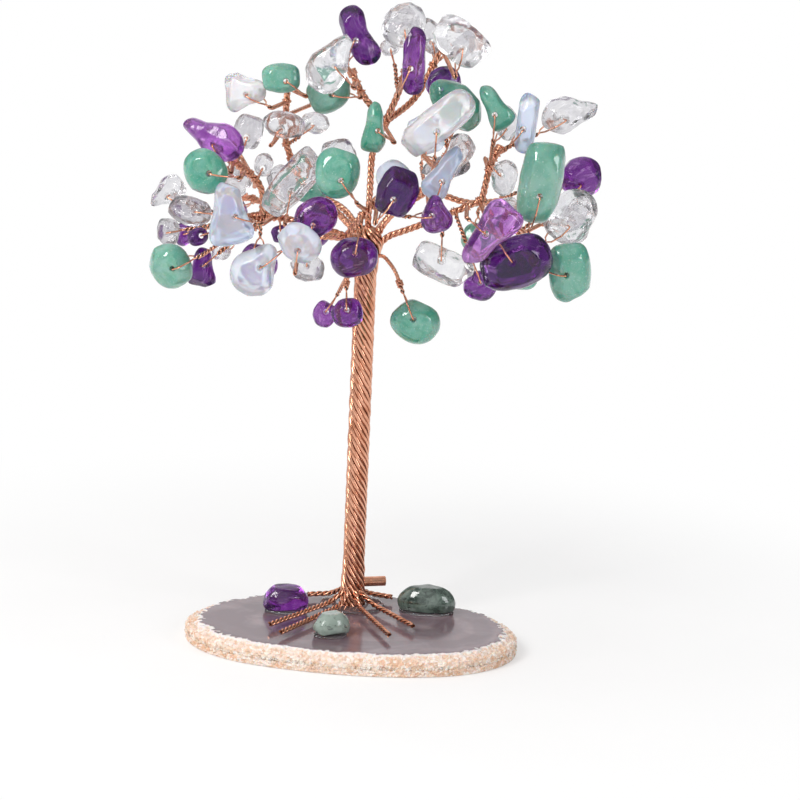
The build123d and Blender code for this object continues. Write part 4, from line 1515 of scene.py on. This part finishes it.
class GEMTREE_OT_glue(bpy.types.Operator):
    """Builds the clear glue under the trunk and the glued chips"""

    bl_idname = "gemtree.glue"
    bl_label = "Glue"

    def execute(self, context):
        whole = bmesh.new()
        for island in node_islands("clear_glue"):
            puddle = remeshed(island, GLUE_VOXEL)
            middle = island_middle(puddle)
            for vertex in puddle.verts:
                off = vertex.co - middle
                off.z = 0
                wave = noise.noise(off / GLUE_WAVE_SIZE + middle * GLUE_APART)
                reach = 1 - GLUE_WAVE_SHARE * (1 + wave)
                vertex.co.x = middle.x + off.x * reach
                vertex.co.y = middle.y + off.y * reach
            smooth_out(puddle, GLUE_SMOOTH_TURNS)
            take_in(whole, puddle)
        piece = add_piece("glue_puddles", to_mesh("glue", whole), finish_of("glue"))
        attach(piece, "base")
        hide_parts("clear_glue")
        return {"FINISHED"}


class GEMTREE_OT_glued_stones(bpy.types.Operator):
    """Builds the chips that are glued on the slice"""

    bl_idname = "gemtree.glued_stones"
    bl_label = "Glued stones"

    def execute(self, context):
        for number, (node, (kind, depth)) in enumerate(BASE_STONES.items()):
            island = node_islands(node)[0]
            matrix = Matrix.Translation(island_middle(island))
            chips = [(island, matrix, kind, stone_tint(kind, depth), FIRST_BASE_SEED + number)]
            piece = add_piece(f"{node}_chip", chips_mesh(f"{node}_chip", chips), finish_of(kind))
            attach(piece, "base")
            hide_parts(node)
        return {"FINISHED"}


# The stage

def stage_world(settings):
    """A surround that is white to the camera, with wide soft lights and dimmer gaps in reflections."""
    world = bpy.data.worlds.new("studio")
    world.use_nodes = True
    tree = world.node_tree
    tree.nodes.clear()
    way = put(tree, "ShaderNodeTexCoord").outputs["Generated"]
    split = put(tree, "ShaderNodeSeparateXYZ", Vector=way)
    turn = maths(tree, "ARCTAN2", split.outputs[0], split.outputs[1])
    stripes = ranged(tree, maths(tree, "COSINE", maths(tree, "MULTIPLY", turn, 4.0)), -0.35, 0.55)
    dome = ranged(tree, split.outputs[2], 0.55, 0.85, 0.0, 0.75)
    bright = maths(tree, "MAXIMUM", stripes, dome)
    level = ranged(tree, bright, 0.0, 1.0, settings.surround, 1.0)
    shaded = ranged(tree, split.outputs[0], -0.2, 0.8, 1.0, settings.far_side)
    level = maths(tree, "MULTIPLY", level, shaded)
    rays = put(tree, "ShaderNodeLightPath")
    clear = maths(tree, "MULTIPLY", rays.outputs["Is Transmission Ray"], 0.72)
    mirrored = maths(tree, "MAXIMUM", clear, maths(tree, "MULTIPLY", rays.outputs["Is Glossy Ray"], 0.2))
    level = maths(tree, "MAXIMUM", level, maths(tree, "MAXIMUM", rays.outputs["Is Camera Ray"], mirrored))
    shader = put(tree, "ShaderNodeBackground", Color=(1.0, 1.0, 1.0, 1.0), Strength=level)
    put(tree, "ShaderNodeOutputWorld", Surface=shader.outputs[0])
    return world


def floor_material(settings):
    """Pale paper that keeps the object's shadow and turns white with distance."""
    material, tree, shader = new_material("floor")
    place = object_place(tree)
    paper = ranged(tree, noisy(tree, place, 40.0, 3.0), 0.35, 0.65)
    shade = tuple(channel * 0.985 for channel in settings.floor)
    colour = mixed(tree, paper, settings.floor, shade)
    set_inputs(tree, shader, Base_Color=colour, Roughness=0.7, Specular_IOR_Level=0.2)
    rays = put(tree, "ShaderNodeLightPath")
    mirrored = maths(tree, "MAXIMUM", rays.outputs["Is Glossy Ray"], rays.outputs["Is Transmission Ray"])
    seen = maths(tree, "MAXIMUM", rays.outputs["Is Camera Ray"], mirrored)
    reach = put(tree, "ShaderNodeVectorMath", {"operation": "LENGTH"}, Vector=place).outputs["Value"]
    far = ranged(tree, reach, WHITE_START, WHITE_END, WHITE_NEAR_SHARE, 1.0)
    white = put(tree, "ShaderNodeEmission", Color=(1.0, 1.0, 1.0, 1.0), Strength=1.0)
    blend = put(tree, "ShaderNodeMixShader", Fac=maths(tree, "MULTIPLY", seen, far))
    feed(tree, blend.inputs[1], shader.outputs[0])
    feed(tree, blend.inputs[2], white.outputs[0])
    out = next(node for node in tree.nodes if node.bl_idname == "ShaderNodeOutputMaterial")
    set_inputs(tree, out, Surface=blend.outputs[0])
    return material


def area_light(name, place, aim, size, power, colour):
    lamp = bpy.data.lights.new(name, "AREA")
    lamp.shape = "RECTANGLE"
    lamp.size, lamp.size_y = size
    lamp.energy = power
    lamp.color = colour
    holder = bpy.data.objects.new(name, lamp)
    holder.location = place
    holder.rotation_euler = (aim - place).to_track_quat("-Z", "Y").to_euler()
    bpy.context.scene.collection.objects.link(holder)


class GEMTREE_OT_stage(bpy.types.Operator):
    """Sets the floor, the lights, the surround and the camera"""

    bl_idname = "gemtree.stage"
    bl_label = "Stage"

    def execute(self, context):
        settings = context.scene.gem_tree_stage
        context.scene.view_settings.view_transform = "Standard"
        context.scene.world = stage_world(settings)
        sheet = bmesh.new()
        bmesh.ops.create_grid(sheet, x_segments=4, y_segments=4, size=FLOOR_HALF)
        floor = add_piece("floor", to_mesh("floor", sheet), floor_material(settings))
        middle = Vector((0, 0, TREE_HEIGHT * AIM_SHARE))
        area_light("key", KEY_PLACE, middle, KEY_SIZE, settings.key, KEY_TINT)
        area_light("fill", FILL_PLACE, middle, FILL_SIZE, settings.fill, FILL_TINT)
        lens = bpy.data.cameras.new("camera")
        lens.sensor_fit = "HORIZONTAL"
        lens.lens = lens.sensor_width * VIEW_DISTANCE / (VIEW_WIDTH_PX * PIXEL)
        lens.clip_start = VIEW_DISTANCE * CLIP_NEAR_SHARE
        lens.clip_end = VIEW_DISTANCE * CLIP_FAR_SHARE
        camera = bpy.data.objects.new("camera", lens)
        back = Vector((0, -cos(VIEW_TILT), sin(VIEW_TILT)))
        up = Vector((0, sin(VIEW_TILT), cos(VIEW_TILT)))
        right = Vector((1, 0, 0))
        rolled_right = right * cos(VIEW_LEAN) + up * sin(VIEW_LEAN)
        rolled_up = up * cos(VIEW_LEAN) - right * sin(VIEW_LEAN)
        axes = Matrix((rolled_right, rolled_up, back)).transposed().to_4x4()
        camera.matrix_world = Matrix.Translation(VIEW_CENTRE + back * VIEW_DISTANCE) @ axes
        context.scene.collection.objects.link(camera)
        context.scene.camera = camera
        return {"FINISHED"}


OPERATORS = (
    GEMTREE_OT_stage,
    GEMTREE_OT_slice,
    GEMTREE_OT_glue,
    GEMTREE_OT_glued_stones,
    GEMTREE_OT_trunk,
    GEMTREE_OT_roots,
    GEMTREE_OT_forks,
    GEMTREE_OT_branches,
    GEMTREE_OT_stones,
)


class GEMTREE_PT_panel(bpy.types.Panel):
    """Lists the tree's pieces in the sidebar"""

    bl_idname = "GEMTREE_PT_panel"
    bl_label = "Gem Tree"
    bl_space_type = "VIEW_3D"
    bl_region_type = "UI"
    bl_category = "Gem Tree"

    def draw(self, context):
        for operator in OPERATORS:
            self.layout.operator(operator.bl_idname)
        for group in SETTINGS:
            settings = getattr(context.scene, group)
            for name in settings.bl_rna.properties.keys():
                if name not in ("rna_type", "name"):
                    self.layout.prop(settings, name)


SETTINGS = {
    "gem_tree_wire": WireSettings,
    "gem_tree_stones": StoneSettings,
    "gem_tree_base": BaseSettings,
    "gem_tree_stage": StageSettings,
}


def register():
    for name, group in SETTINGS.items():
        bpy.utils.register_class(group)
        setattr(bpy.types.Scene, name, PointerProperty(type=group))
    for operator in OPERATORS:
        bpy.utils.register_class(operator)
    bpy.utils.register_class(GEMTREE_PT_panel)


def unregister():
    bpy.utils.unregister_class(GEMTREE_PT_panel)
    for operator in reversed(OPERATORS):
        bpy.utils.unregister_class(operator)
    for name, group in SETTINGS.items():
        delattr(bpy.types.Scene, name)
        bpy.utils.unregister_class(group)


def main():
    register()
    bpy.ops.gemtree.stage()
    bpy.ops.gemtree.slice()
    bpy.ops.gemtree.glue()
    bpy.ops.gemtree.glued_stones()
    bpy.ops.gemtree.trunk()
    bpy.ops.gemtree.roots()
    bpy.ops.gemtree.forks()
    bpy.ops.gemtree.branches()
    bpy.ops.gemtree.stones()


if __name__ == "__main__":
    main()
